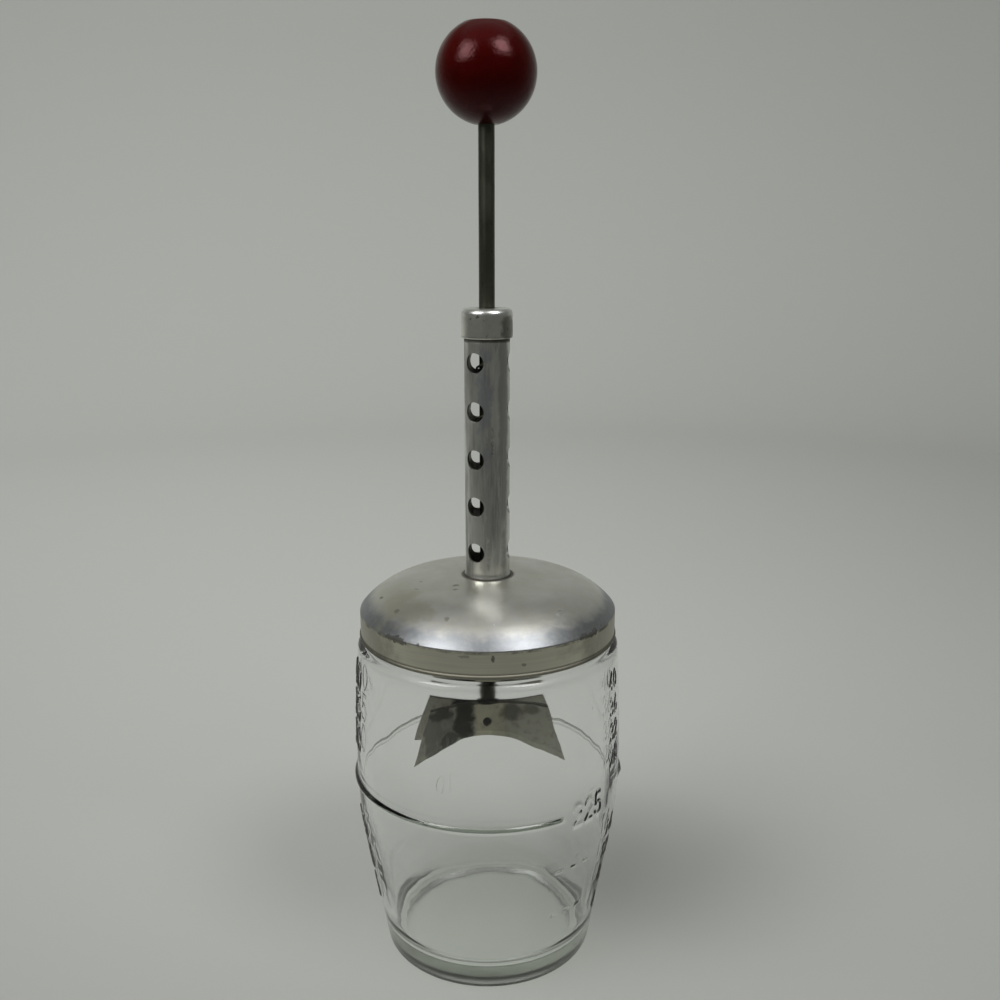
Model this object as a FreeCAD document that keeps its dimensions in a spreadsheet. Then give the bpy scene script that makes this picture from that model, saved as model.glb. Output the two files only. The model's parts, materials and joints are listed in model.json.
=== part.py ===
import FreeCAD, Part

import math
import os
import re

import Sketcher
from FreeCAD import Placement, Rotation, Vector

# A nut chopper that is worked by hand: a glass jar, a slip-on lid that carries an upright tube, and a
# spring-returned plunger with a ball on top and two crossed blades at its foot.
#
# Millimetres. +Z is up, and the origin is the centre of the jar's foot, on the table. The front is -Y.
# Azimuths are in degrees from the front, growing towards +X.

# Driving dimensions: the name of each cell of the sheet, its value, and what it measures
DIMENSIONS = [
    # Glass jar
    ("jar_height", 116.4),  # table to the rim of the glass
    ("glass_wall", 3.0),  # thickness of the side wall, measured level
    ("glass_floor", 6.0),  # thickness of the glass under the nuts
    ("floor_round", 2.5),  # round between the floor and the wall, inside
    ("foot_radius", 33.8),  # outside of the foot, before its heel is rounded
    ("heel_round", 1.5),  # round of the heel
    ("foot_ring", 4.3),  # width of the ring that the jar stands on, from the foot's outside
    ("punt_depth", 1.0),  # depth of the hollow inside that ring
    ("taper_top", 41.0),  # height where the straight taper ends and the belly's curve begins
    ("belly_radius", 42.7),  # widest radius of the wall
    ("belly_height", 62.0),  # height of the widest place
    ("shoulder_draw", 1.4),  # how far the wall draws in from the belly to the shoulder
    ("shoulder_drop", 12.1),  # rim down to where the shoulder begins
    ("shoulder_sink", 2.0),  # how far the inside of the shoulder lies below its outside
    ("shoulder_round", 2.0),  # round at the start of the shoulder
    ("neck_step", 2.5),  # how far the shoulder draws in to the neck
    ("neck_length", 10.9),  # rim down to where the neck begins
    ("neck_hollow", 0.8),  # hollow round between the shoulder and the neck
    ("rim_round", 1.2),  # round of the rim's edges
    ("neck_bead_drop", 6.4),  # rim down to the middle of the neck's bead
    ("neck_bead_width", 3.0),  # height of the bead that the lid slips over
    ("neck_bead_relief", 0.8),  # how far the bead stands out of the neck
    ("ring_height", 59.8),  # height of the raised measuring ring
    ("ring_width", 2.2),  # height of the ring's section
    ("ring_relief", 0.9),  # how far the ring stands out of the wall
    ("ring_gap_azimuth", 56.5),  # azimuth of the middle of the ring's break
    ("ring_gap_sweep", 47.0),  # sweep of the ring's break
    # Lid
    ("lid_slip", 0.2),  # clearance on the radius between the neck's bead and the skirt
    ("lid_sheet", 0.5),  # thickness of the sheet
    ("dome_radius", 182.0),  # radius of the dome's outer face in the middle
    ("haunch_start", 24.3),  # radius where the dome's haunch begins
    ("haunch_radius", 25.0),  # radius of the haunch, which curves down to the corner
    ("lid_corner", 0.6),  # round of the corner between the haunch and the skirt
    ("skirt_depth", 8.4),  # corner down to the skirt's edge
    ("edge_bead_width", 1.2),  # height of the bead on the skirt's edge
    ("edge_bead_relief", 0.35),  # how far that bead stands out
    ("seat_radius", 9.5),  # flat seat round the tube's foot
    ("lid_clearance", 0.15),  # between the lid's underside and the rounded rim
    # Tube and its cap
    ("tube_radius", 6.9),  # outside of the tube
    ("tube_wall", 0.75),  # thickness of the tube's wall
    ("tube_height", 82.1),  # lid's seat up to the tube's top end
    ("tube_flare", 0.6),  # how far the tube flares out where it stands on the lid
    ("tube_flare_height", 1.9),  # height of that flare
    ("tube_bead_width", 1.5),  # height of the bead that grips the lid from below
    ("tube_bead_relief", 0.65),  # how far that bead stands out of the tube
    ("tube_foot", 2.2),  # length of the tube below its bead
    ("tube_lip", 2.0),  # how far the foot's lip reaches inwards
    ("vent_radius", 3.05),  # radius of the holes in the tube
    ("vent_pitch", 14.65),  # height between holes
    ("vent_rows", 5),  # holes in a column
    ("vent_columns", 3),  # columns round the tube
    ("vent_lowest", 8.45),  # lid's seat up to the lowest hole's centre
    ("vent_azimuth", -34.0),  # azimuth of the front column
    ("slip_fit", 0.05),  # clearance on the radius where one piece slips over another
    ("cap_wall", 0.8),  # thickness of the cap
    ("cap_depth", 8.0),  # length of the cap's side, from the tube's top end down
    ("cap_round", 1.6),  # round of the cap's top edge
    ("cap_edge_round", 0.6),  # round of the cap's lower edge
    # Rod, stop pin and guide
    ("rod_radius", 2.38),  # radius of the rod
    ("running_fit", 0.06),  # clearance on the radius where the rod runs in a hole
    ("rod_chamfer", 0.4),  # chamfer on the rod's top end
    ("guide_thickness", 1.2),  # thickness of the washer in the tube's foot
    ("pin_radius", 0.8),  # radius of the stop pin
    ("pin_end_gap", 0.95),  # between each end of the stop pin and the tube's bore
    ("pin_fit", 0.02),  # clearance on the radius round a driven pin or rivet
    ("stop_gap", 0.15),  # between the stop pin and the cap's roof
    ("seat_gap", 0.1),  # between the stop pin and the washer under it
    ("washer_thickness", 0.8),  # thickness of the washer under the stop pin
    ("washer_gap", 0.25),  # clearance on the radius between that washer and the tube's bore
    # Return spring
    ("wire_radius", 0.35),  # radius of the spring's wire
    ("coil_radius", 3.1),  # radius of the coil, to the middle of the wire
    ("coil_turns", 12.25),  # turns from end to end
    ("coil_end_turns", 0.75),  # turns at each end that lie close together
    ("coil_ease_turns", 0.75),  # turns over which the close pitch grows to the open one
    ("coil_end_gap", 0.55),  # gap between the close turns
    ("coil_seat_gap", 0.05),  # between the wire and what it presses on
    # Knob
    ("knob_radius", 14.5),  # radius of the ball
    ("crown_radius", 6.4),  # radius of the flat on top
    ("knob_foot_radius", 3.4),  # radius of the flat round the rod
    ("knob_edge_round", 0.6),  # round of the crown's edge
    ("knob_rise", 53.6),  # stop pin up to the ball's lower flat
    ("knob_bore", 16.0),  # depth of the hole for the rod
    ("rod_end_gap", 0.3),  # between the rod's top end and the end of that hole
    # Blades
    ("blade_drop", 123.4),  # stop pin down to the blades' top edge
    ("blade_sheet", 1.0),  # thickness of the steel
    ("blade_depth", 18.4),  # top edge down to the tips
    ("blade_flat", 5.1),  # half of the flat between the two bends
    ("bend_angle", 26.0),  # how far each wing is bent out of the flat
    ("bend_radius", 12.0),  # inside radius of the bends
    ("shoulder_reach", 18.5),  # middle out to the top corner of a wing, seen from the front
    ("tip_reach", 24.3),  # middle out to a tip, seen from the front
    ("arch_depth", 12.0),  # top edge down to the top of the arch
    ("arch_radius", 34.0),  # radius of the arch, which runs on straight to the tips
    ("grind_width", 2.0),  # width of the ground bevel on the cutting edge
    ("edge_land", 0.25),  # thickness left at the cutting edge
    ("blade_turn", 5.0),  # turn of the plunger at rest, seen from above
    # Rod's foot, rivet and collar
    ("tang_thickness", 1.6),  # thickness between the two flats of the rod's foot
    ("tang_length", 11.3),  # length of the flats
    ("rivet_drop", 6.9),  # blades' top edge down to the rivet
    ("rivet_radius", 1.2),  # radius of the rivet's shank
    ("rivet_head_radius", 1.9),  # radius of its heads
    ("rivet_head_rise", 0.7),  # height of its heads
    ("collar_radius", 3.5),  # outside of the ring above the blades
    ("collar_height", 1.3),  # height of that ring
]

SHEET = "Dims"
ALIASES = {alias for alias, value in DIMENSIONS}


def on_sheet(formula):
    """Write the sheet's name before each alias in a formula."""

    def with_sheet(match):
        word = match.group()
        return f"{SHEET}.{word}" if word in ALIASES else word

    return re.sub(r"[a-z_]+", with_sheet, str(formula))


def arc_radius(half_chord, rise):
    """The formula of the radius of an arc with half a chord and a rise."""
    return f"((({half_chord})^2 + ({rise})^2) / (2 * ({rise})))"


# Where things are, as formulas of the sheet: heights above the table
SHOULDER_RADIUS = "(belly_radius - shoulder_draw)"
SHOULDER_HEIGHT = "(jar_height - shoulder_drop)"
NECK_RADIUS = f"({SHOULDER_RADIUS} - neck_step)"
NECK_START = "(jar_height - neck_length)"
LID_RADIUS = f"({NECK_RADIUS} + neck_bead_relief + lid_slip + lid_sheet)"
HAUNCH_ACROSS = "(haunch_start * (1 - haunch_radius / dome_radius))"
DOME_JOIN = "sqrt(dome_radius^2 - haunch_start^2)"
HAUNCH_RISE = f"({DOME_JOIN} * (1 - haunch_radius / dome_radius))"
RIM_ACROSS = f"({NECK_RADIUS} - rim_round - {HAUNCH_ACROSS})"
RIM_REACH = "(haunch_radius - lid_sheet - lid_clearance - rim_round)"
DOME_CENTRE = f"(jar_height - rim_round - {HAUNCH_RISE} - sqrt({RIM_REACH}^2 - {RIM_ACROSS}^2))"
SEAT_RISE = "sqrt(dome_radius^2 - seat_radius^2)"
LID_SEAT = f"({DOME_CENTRE} + {SEAT_RISE})"
TUBE_FOOT = "(0 - lid_sheet - tube_bead_width - tube_foot)"
GUIDE_BOTTOM = f"({LID_SEAT} + {TUBE_FOOT} + tube_wall)"
TUBE_TOP = f"({LID_SEAT} + tube_height)"
PIN_HEIGHT = f"({TUBE_TOP} - stop_gap - pin_radius)"
WASHER_BOTTOM = f"({PIN_HEIGHT} - pin_radius - seat_gap - washer_thickness)"
BLADE_TOP = f"({PIN_HEIGHT} - blade_drop)"
TUBE_BORE = "(tube_radius - tube_wall)"
ROD_HOLE = "(rod_radius + running_fit)"

document = FreeCAD.newDocument("nut_chopper")
sheet = document.addObject("Spreadsheet::Sheet", SHEET)
for row, (alias, value) in enumerate(DIMENSIONS, start=1):
    sheet.set(f"A{row}", str(value))
    sheet.setAlias(f"A{row}", alias)
document.recompute()


def size(formula):
    """The number that a formula of the sheet comes to."""
    return float(sheet.evalExpression(on_sheet(formula)))


def bind(thing, name, formula):
    """Tie a property of an object to a formula of the sheet."""
    thing.setExpression(name, on_sheet(formula))


def new_body(label, height="0", turn="0"):
    """An empty body at a height above the table, turned about the upright axis."""
    body = document.addObject("PartDesign::Body", label)
    body.Label = label
    body.Placement = Placement(Vector(0, 0, size(height)), Rotation(Vector(0, 0, 1), size(turn)))
    bind(body, "Placement.Base.z", height)
    bind(body, "Placement.Rotation.Angle", turn)
    return body


def new_sketch(body, name, plane="XZ_Plane"):
    """An empty sketch on one of the body's own origin planes."""
    sketch = body.newObject("Sketcher::SketchObject", name)
    planes = [feature for feature in body.Origin.OriginFeatures if feature.Role == plane]
    sketch.AttachmentSupport = [(planes[0], "")]
    sketch.MapMode = "FlatFace"
    return sketch


def pin_point(sketch, geometry, position, across, up):
    """Tie a point of a sketch to two formulas, or to an axis where a formula is plain 0."""
    for kind, axis, formula in (("DistanceX", -2, across), ("DistanceY", -1, up)):
        if formula == "0":
            sketch.addConstraint(Sketcher.Constraint("PointOnObject", geometry, position, axis))
        else:
            constraint = Sketcher.Constraint(kind, -1, 1, geometry, position, size(formula))
            bind(sketch, f"Constraints[{sketch.addConstraint(constraint)}]", formula)


def draw_arc(sketch, start, end, radius, side):
    """An arc under half a circle, which turns left or right on its way. Says which ends it begins and
    finishes with."""
    chord = end - start
    across = Vector(-chord.y, chord.x, 0).normalize() * (1 if side == "left" else -1)
    reach = math.sqrt(max(radius**2 - (chord.Length / 2) ** 2, 0.0))
    centre = (start + end) * 0.5 + across * reach
    first, last = (start, end) if side == "left" else (end, start)
    first_angle = math.atan2(first.y - centre.y, first.x - centre.x)
    last_angle = math.atan2(last.y - centre.y, last.x - centre.x)
    circle = Part.Circle(centre, Vector(0, 0, 1), radius)
    geometry = sketch.addGeometry(Part.ArcOfCircle(circle, first_angle, last_angle))
    return (geometry, 1, 2) if side == "left" else (geometry, 2, 1)


def draw_outline(sketch, corners):
    """A closed outline. Each corner is a pair of formulas, and may add a radius and a side: then an arc
    that turns to that side runs on to the next corner, and otherwise a line does."""
    points = [Vector(size(corner[0]), size(corner[1]), 0) for corner in corners]
    pieces = []
    for place, corner in enumerate(corners):
        start = points[place]
        end = points[(place + 1) % len(points)]
        if len(corner) == 4:
            radius, side = corner[2:]
            pieces.append(draw_arc(sketch, start, end, size(radius), side))
            constraint = Sketcher.Constraint("Radius", pieces[-1][0], size(radius))
            bind(sketch, f"Constraints[{sketch.addConstraint(constraint)}]", radius)
        else:
            pieces.append((sketch.addGeometry(Part.LineSegment(start, end)), 1, 2))
    for place, (geometry, first, last) in enumerate(pieces):
        following, following_first, following_last = pieces[(place + 1) % len(pieces)]
        sketch.addConstraint(Sketcher.Constraint("Coincident", geometry, last, following, following_first))
        pin_point(sketch, geometry, first, corners[place][0], corners[place][1])


def draw_circle(sketch, across, up, radius):
    """A circle whose centre and radius are formulas."""
    centre = Vector(size(across), size(up), 0)
    geometry = sketch.addGeometry(Part.Circle(centre, Vector(0, 0, 1), size(radius)))
    pin_point(sketch, geometry, 3, across, up)
    constraint = Sketcher.Constraint("Radius", geometry, size(radius))
    bind(sketch, f"Constraints[{sketch.addConstraint(constraint)}]", radius)


def revolve(body, name, corners, plane="XZ_Plane", sweep="360"):
    """Turn an outline about the sketch's upright axis, from the sketch's plane on."""
    sketch = new_sketch(body, f"{name}_profile", plane)
    draw_outline(sketch, corners)
    feature = body.newObject("PartDesign::Revolution", name)
    feature.Profile = sketch
    feature.ReferenceAxis = (sketch, ["V_Axis"])
    bind(feature, "Angle", sweep)
    document.recompute()
    return feature


def cut_through(body, name, sketch):
    """Cut a sketch's outlines right through the body, to both sides of the sketch's plane."""
    before = body.Shape.Volume
    pocket = body.newObject("PartDesign::Pocket", name)
    pocket.Profile = sketch
    pocket.Type = "ThroughAll"
    pocket.Midplane = True
    document.recompute()
    if body.Shape.Volume >= before:
        raise RuntimeError(f"{name} cut nothing")
    return pocket


def edges_where(feature, test):
    """The names of a feature's edges that pass a test."""
    return [f"Edge{place}" for place, edge in enumerate(feature.Shape.Edges, start=1) if test(edge)]


def is_circle_at(edge, radius, height):
    """Whether an edge is a level circle of a radius at a height."""
    if not isinstance(edge.Curve, Part.Circle):
        return False
    near_radius = abs(edge.Curve.Radius - radius) < 0.01
    return near_radius and abs(edge.BoundBox.ZMin - height) < 0.01 and edge.BoundBox.ZLength < 0.01


def round_circles(body, name, base, circles, radius):
    """Round the level circles of a feature, each given by the formulas of its radius and height."""
    names = []
    for circle_radius, height in circles:
        found = edges_where(base, lambda edge: is_circle_at(edge, size(circle_radius), size(height)))
        if not found:
            raise RuntimeError(f"{name} found no edge at {circle_radius}, {height}")
        names += found
    fillet = body.newObject("PartDesign::Fillet", name)
    fillet.Base = (base, names)
    bind(fillet, "Radius", radius)
    document.recompute()
    return fillet


# Glass jar
# The wall tapers up straight from the foot, bends upright over the belly and draws in a little
# towards the shoulder. The curve starts where a straight line from the foot meets it in line.
TAPER_SLOPE = "((belly_radius - foot_radius) / ((taper_top + belly_height) / 2))"
TAPER_END = f"(foot_radius + taper_top * {TAPER_SLOPE})"
BELLY_CURVE = arc_radius("belly_height - taper_top", f"belly_radius - {TAPER_END}")
SIDE_CURVE = arc_radius(f"{SHOULDER_HEIGHT} - belly_height", "shoulder_draw")
INNER_SIDE_CURVE = arc_radius(f"{SHOULDER_HEIGHT} - shoulder_sink - belly_height", "shoulder_draw")
RING_WALL = f"(belly_radius - {BELLY_CURVE} + sqrt({BELLY_CURVE}^2 - (belly_height - ring_height)^2))"
PUNT_RADIUS = "(foot_radius - foot_ring)"
FLOOR_RADIUS = f"(foot_radius + glass_floor * {TAPER_SLOPE} - glass_wall)"
SHOULDER_INSIDE = f"({SHOULDER_RADIUS} - glass_wall)"
NECK_INSIDE = f"({NECK_RADIUS} - glass_wall)"

NECK_BEAD_BOTTOM = "(jar_height - neck_bead_drop - neck_bead_width / 2)"
NECK_BEAD_TOP = "(jar_height - neck_bead_drop + neck_bead_width / 2)"

glass_jar = new_body("glass_jar", turn="ring_gap_azimuth - 90 + ring_gap_sweep / 2")
jar_wall = revolve(
    glass_jar,
    "jar_wall",
    [
        ("0", "punt_depth"),
        (PUNT_RADIUS, "punt_depth"),
        (PUNT_RADIUS, "0"),
        ("foot_radius", "0"),
        (TAPER_END, "taper_top", BELLY_CURVE, "left"),
        ("belly_radius", "belly_height", SIDE_CURVE, "left"),
        (SHOULDER_RADIUS, SHOULDER_HEIGHT),
        (NECK_RADIUS, NECK_START),
        (NECK_RADIUS, NECK_BEAD_BOTTOM, arc_radius("neck_bead_width / 2", "neck_bead_relief"), "left"),
        (NECK_RADIUS, NECK_BEAD_TOP),
        (NECK_RADIUS, "jar_height"),
        (NECK_INSIDE, "jar_height"),
        (NECK_INSIDE, f"{NECK_START} - shoulder_sink"),
        (SHOULDER_INSIDE, f"{SHOULDER_HEIGHT} - shoulder_sink", INNER_SIDE_CURVE, "right"),
        ("belly_radius - glass_wall", "belly_height", BELLY_CURVE, "right"),
        (f"{TAPER_END} - glass_wall", "taper_top"),
        (FLOOR_RADIUS, "glass_floor"),
        ("0", "glass_floor"),
    ],
)
jar_heel = round_circles(glass_jar, "jar_heel", jar_wall, [("foot_radius", "0")], "heel_round")
jar_floor = round_circles(glass_jar, "jar_floor", jar_heel, [(FLOOR_RADIUS, "glass_floor")], "floor_round")
rim_edges = [(NECK_RADIUS, "jar_height"), (NECK_INSIDE, "jar_height")]
jar_rim = round_circles(glass_jar, "jar_rim", jar_floor, rim_edges, "rim_round")
shoulder_edges = [
    (SHOULDER_RADIUS, SHOULDER_HEIGHT),
    (SHOULDER_INSIDE, f"{SHOULDER_HEIGHT} - shoulder_sink"),
]
jar_shoulder = round_circles(glass_jar, "jar_shoulder", jar_rim, shoulder_edges, "shoulder_round")
neck_edges = [(NECK_RADIUS, NECK_START), (NECK_INSIDE, f"{NECK_START} - shoulder_sink")]
jar_neck = round_circles(glass_jar, "jar_neck", jar_shoulder, neck_edges, "neck_hollow")

# The raised ring is rooted in the wall, and breaks off over a sweep on one side
RING_ROOT = f"({RING_WALL} - glass_wall / 3)"
RING_EDGE = f"({RING_WALL} - ring_relief / 6)"
RING_ARC = arc_radius("ring_width / 2", "ring_relief * 7 / 6")
revolve(
    glass_jar,
    "jar_ring",
    [
        (RING_ROOT, "ring_height - ring_width / 2"),
        (RING_EDGE, "ring_height - ring_width / 2", RING_ARC, "left"),
        (RING_EDGE, "ring_height + ring_width / 2"),
        (RING_ROOT, "ring_height + ring_width / 2"),
    ],
    sweep="360 - ring_gap_sweep",
)

# Lid
# The dome is nearly flat in the middle and curves down over its haunch to a crisp corner with the
# skirt. Both faces of the sheet share the dome's and the haunch's centres, so it is as thick
# everywhere. The body's origin is the dome's centre.
CORNER_RISE = f"({HAUNCH_RISE} + sqrt(haunch_radius^2 - ({LID_RADIUS} - {HAUNCH_ACROSS})^2))"
INNER_HAUNCH = "(haunch_radius - lid_sheet)"
INNER_SKIRT = f"({LID_RADIUS} - lid_sheet)"
INNER_CORNER_RISE = f"({HAUNCH_RISE} + sqrt({INNER_HAUNCH}^2 - ({INNER_SKIRT} - {HAUNCH_ACROSS})^2))"
SKIRT_EDGE = f"({CORNER_RISE} - skirt_depth)"
SEAT_UNDERSIDE = f"({SEAT_RISE} - lid_sheet)"
INNER_DOME = "(dome_radius - lid_sheet)"
INNER_SHARE = f"({INNER_DOME} / dome_radius)"

lid_shell = new_body("lid_shell", height=DOME_CENTRE)
lid_metal = revolve(
    lid_shell,
    "lid_metal",
    [
        (INNER_SKIRT, SKIRT_EDGE),
        (LID_RADIUS, SKIRT_EDGE, arc_radius("edge_bead_width / 2", "edge_bead_relief"), "left"),
        (LID_RADIUS, f"{SKIRT_EDGE} + edge_bead_width"),
        (LID_RADIUS, CORNER_RISE, "haunch_radius", "left"),
        ("haunch_start", DOME_JOIN, "dome_radius", "left"),
        ("seat_radius", SEAT_RISE),
        ("tube_radius + slip_fit", SEAT_RISE),
        ("tube_radius + slip_fit", SEAT_UNDERSIDE),
        (f"sqrt({INNER_DOME}^2 - {SEAT_UNDERSIDE}^2)", SEAT_UNDERSIDE, INNER_DOME, "right"),
        (f"haunch_start * {INNER_SHARE}", f"{DOME_JOIN} * {INNER_SHARE}", INNER_HAUNCH, "right"),
        (INNER_SKIRT, INNER_CORNER_RISE),
    ],
)
round_circles(lid_shell, "lid_corner_round", lid_metal, [(LID_RADIUS, CORNER_RISE)], "lid_corner")

# Spring tube
# The tube flares out a little where it stands on the lid, and a bead grips the lid from below. The
# foot turns in to a lip, which holds the guide washer. The body's origin is on the lid's seat.
TUBE_BEAD = arc_radius("tube_bead_width / 2", "tube_bead_relief")
TUBE_FLARE = arc_radius("tube_flare_height", "tube_flare")

spring_tube = new_body("spring_tube", height=LID_SEAT, turn="vent_azimuth")
revolve(
    spring_tube,
    "tube_wall_metal",
    [
        (f"{TUBE_BORE} - tube_lip", TUBE_FOOT),
        ("tube_radius", TUBE_FOOT),
        ("tube_radius", "0 - lid_sheet - tube_bead_width", TUBE_BEAD, "left"),
        ("tube_radius", "0 - lid_sheet"),
        ("tube_radius", "0"),
        ("tube_radius + tube_flare", "0", TUBE_FLARE, "right"),
        ("tube_radius", "tube_flare_height"),
        ("tube_radius", "tube_height"),
        (TUBE_BORE, "tube_height"),
        (TUBE_BORE, f"{TUBE_FOOT} + tube_wall"),
        (f"{TUBE_BORE} - tube_lip", f"{TUBE_FOOT} + tube_wall"),
    ],
)
vent_sketch = new_sketch(spring_tube, "vent_column")
for step in range(int(size("vent_rows"))):
    draw_circle(vent_sketch, "0", f"vent_lowest + {step} * vent_pitch", "vent_radius")
uncut_volume = spring_tube.Shape.Volume
vents = spring_tube.newObject("PartDesign::Pocket", "vents")
vents.Profile = vent_sketch
vents.Reversed = True
bind(vents, "Length", "tube_radius * 2")
document.recompute()
if spring_tube.Shape.Volume >= uncut_volume:
    raise RuntimeError("vents cut nothing")
vent_ring = spring_tube.newObject("PartDesign::PolarPattern", "vent_ring")
vent_ring.Originals = [vents]
vent_ring.Axis = (vent_sketch, ["V_Axis"])
bind(vent_ring, "Occurrences", "vent_columns")
spring_tube.Tip = vent_ring
document.recompute()

# Tube cap, with its origin on the tube's top end
CAP_RADIUS = "(tube_radius + slip_fit + cap_wall)"

tube_cap = new_body("tube_cap", height=TUBE_TOP)
revolve(
    tube_cap,
    "cap_metal",
    [
        ("tube_radius + slip_fit", "0 - cap_depth"),
        (f"{CAP_RADIUS} - cap_edge_round", "0 - cap_depth", "cap_edge_round", "left"),
        (CAP_RADIUS, "cap_edge_round - cap_depth"),
        (CAP_RADIUS, "cap_wall - cap_round", "cap_round", "left"),
        (f"{CAP_RADIUS} - cap_round", "cap_wall"),
        (ROD_HOLE, "cap_wall"),
        (ROD_HOLE, "0"),
        ("tube_radius + slip_fit", "0"),
    ],
)


def make_washer(label, height, outside, inside, thickness):
    """A flat ring that stands on a height."""
    body = new_body(label, height=height)
    corners = [(inside, "0"), (outside, "0"), (outside, thickness), (inside, thickness)]
    revolve(body, f"{label}_metal", corners)
    return body


make_washer("lower_guide", GUIDE_BOTTOM, f"{TUBE_BORE} - slip_fit", ROD_HOLE, "guide_thickness")
make_washer("spring_washer", WASHER_BOTTOM, f"{TUBE_BORE} - washer_gap", ROD_HOLE, "washer_thickness")
make_washer("blade_collar", BLADE_TOP, "collar_radius", "rod_radius + pin_fit", "collar_height")


# Return spring
# Round wire wound about the rod: the pitch is close at both ends and open between them. The middle
# of the wire follows a coil whose height is worked out from the turns.
def coil_ease(turns):
    """How much a pitch that grows from 0 to 1 has added up to after so many turns."""
    close = size("coil_end_turns")
    ease = size("coil_ease_turns")
    if turns <= close:
        return 0.0
    if turns <= close + ease:
        return (turns - close) ** 2 / (2 * ease)
    return turns - close - ease / 2


def coil_pitch_at(turns):
    """The share of the open pitch, 0 to 1, after so many turns from the nearer end."""
    share = (turns - size("coil_end_turns")) / size("coil_ease_turns")
    return min(max(share, 0.0), 1.0)


COIL_BOTTOM = f"({GUIDE_BOTTOM} + guide_thickness + coil_seat_gap + wire_radius)"
COIL_TOP = f"({WASHER_BOTTOM} - coil_seat_gap - wire_radius)"


def coil_point(turns):
    """The middle of the wire after so many turns from the foot, and the way it runs there."""
    radius = size("coil_radius")
    total = size("coil_turns")
    close_pitch = size("2 * wire_radius + coil_end_gap")
    eased = 2 * size("coil_end_turns") + size("coil_ease_turns")
    rise = size(COIL_TOP) - size(COIL_BOTTOM)
    extra_pitch = (rise - close_pitch * total) / (total - eased)
    height = close_pitch * turns + extra_pitch * (coil_ease(turns) - coil_ease(turns - (total - eased)))
    pitch = close_pitch + extra_pitch * coil_pitch_at(min(turns, total - turns))
    angle = 2 * math.pi * turns
    point = Vector(radius * math.cos(angle), radius * math.sin(angle), height)
    level = 2 * math.pi * radius
    way = Vector(-level * math.sin(angle), level * math.cos(angle), pitch)
    return point, way.normalize()


def tangent_arc(start, corner, end):
    """The arc that leaves start towards corner and reaches end coming from corner. Both legs are as
    long as each other."""
    leg = (corner - start).Length
    middle = (start + end) * 0.5
    half_chord = (end - start).Length / 2
    to_corner = corner - middle
    radius = leg * half_chord / to_corner.Length
    rise = radius - math.sqrt(radius**2 - half_chord**2)
    return Part.Arc(start, middle + to_corner.normalize() * rise, end).toShape()


def biarc(start, start_way, end, end_way):
    """Two arcs that meet in line and join two points, each with the way the line runs there."""
    chord = end - start
    ways = start_way + end_way
    lean = 2 * (1 - start_way.dot(end_way))
    along = chord.dot(ways)
    leg = (math.sqrt(along**2 + lean * chord.dot(chord)) - along) / lean
    first_corner = start + start_way * leg
    last_corner = end - end_way * leg
    joint = (first_corner + last_corner) * 0.5
    return [tangent_arc(start, first_corner, joint), tangent_arc(joint, last_corner, end)]


def coil_gap(samples_per_turn=24):
    """The least gap between the wire and itself, over points at least half a turn apart."""
    total = size("coil_turns")
    count = int(total * samples_per_turn)
    points = [coil_point(total * step / count)[0] for step in range(count + 1)]
    apart = samples_per_turn // 2
    pairs = ((a, b) for a in range(count + 1) for b in range(a + apart, count + 1))
    return min(points[a].distanceToPoint(points[b]) for a, b in pairs) - size("2 * wire_radius")


quarter_turns = max(int(round(size("coil_turns * 4"))), 1)
stations = [coil_point(size("coil_turns") * step / quarter_turns) for step in range(quarter_turns + 1)]
coil_edges = []
for (start, start_way), (end, end_way) in zip(stations, stations[1:]):
    coil_edges += biarc(start, start_way, end, end_way)
coil_path = Part.Wire(coil_edges)
wire_circle = Part.Circle(stations[0][0], stations[0][1], size("wire_radius"))
wire_section = Part.Wire([wire_circle.toShape()])
return_spring = document.addObject("Part::Feature", "return_spring")
return_spring.Label = "return_spring"
return_spring.Shape = coil_path.makePipeShell([wire_section], True, False)
return_spring.Placement = Placement(Vector(0, 0, size(COIL_BOTTOM)), Rotation())
wire_volume = math.pi * size("wire_radius") ** 2 * coil_path.Length
print(f"return_spring: least gap to itself {coil_gap():.3f} mm")
print(f"return_spring: volume {return_spring.Shape.Volume:.2f}, section times length {wire_volume:.2f}")

# Stop pin, across the rod
stop_pin = new_body("stop_pin", height=PIN_HEIGHT, turn="blade_turn")
pin_sketch = new_sketch(stop_pin, "pin_section", "YZ_Plane")
draw_circle(pin_sketch, "0", "0", "pin_radius")
pin_metal = stop_pin.newObject("PartDesign::Pad", "pin_metal")
pin_metal.Profile = pin_sketch
pin_metal.Midplane = True
bind(pin_metal, "Length", f"2 * ({TUBE_BORE} - pin_end_gap)")
document.recompute()

# Plunger rod, with its origin at the stop pin
# The foot has two flats, which leave a tang between the blades.
ROD_TOP = "(knob_rise + knob_bore - rod_end_gap)"
ROD_FOOT = "(0 - blade_drop - tang_length)"

plunger_rod = new_body("plunger_rod", height=PIN_HEIGHT, turn="blade_turn")
revolve(
    plunger_rod,
    "rod_metal",
    [
        ("0", ROD_FOOT),
        ("rod_radius", ROD_FOOT),
        ("rod_radius", f"{ROD_TOP} - rod_chamfer"),
        ("rod_radius - rod_chamfer", ROD_TOP),
        ("0", ROD_TOP),
    ],
)
flat_sketch = new_sketch(plunger_rod, "rod_flats", "YZ_Plane")
for side in ("", "0 - "):
    draw_outline(
        flat_sketch,
        [
            (f"{side}tang_thickness / 2", f"{ROD_FOOT} - rod_radius"),
            (f"{side}rod_radius * 2", f"{ROD_FOOT} - rod_radius"),
            (f"{side}rod_radius * 2", "0 - blade_drop"),
            (f"{side}tang_thickness / 2", "0 - blade_drop"),
        ],
    )
cut_through(plunger_rod, "rod_tang", flat_sketch)
rivet_sketch = new_sketch(plunger_rod, "rod_rivet_hole")
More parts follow.
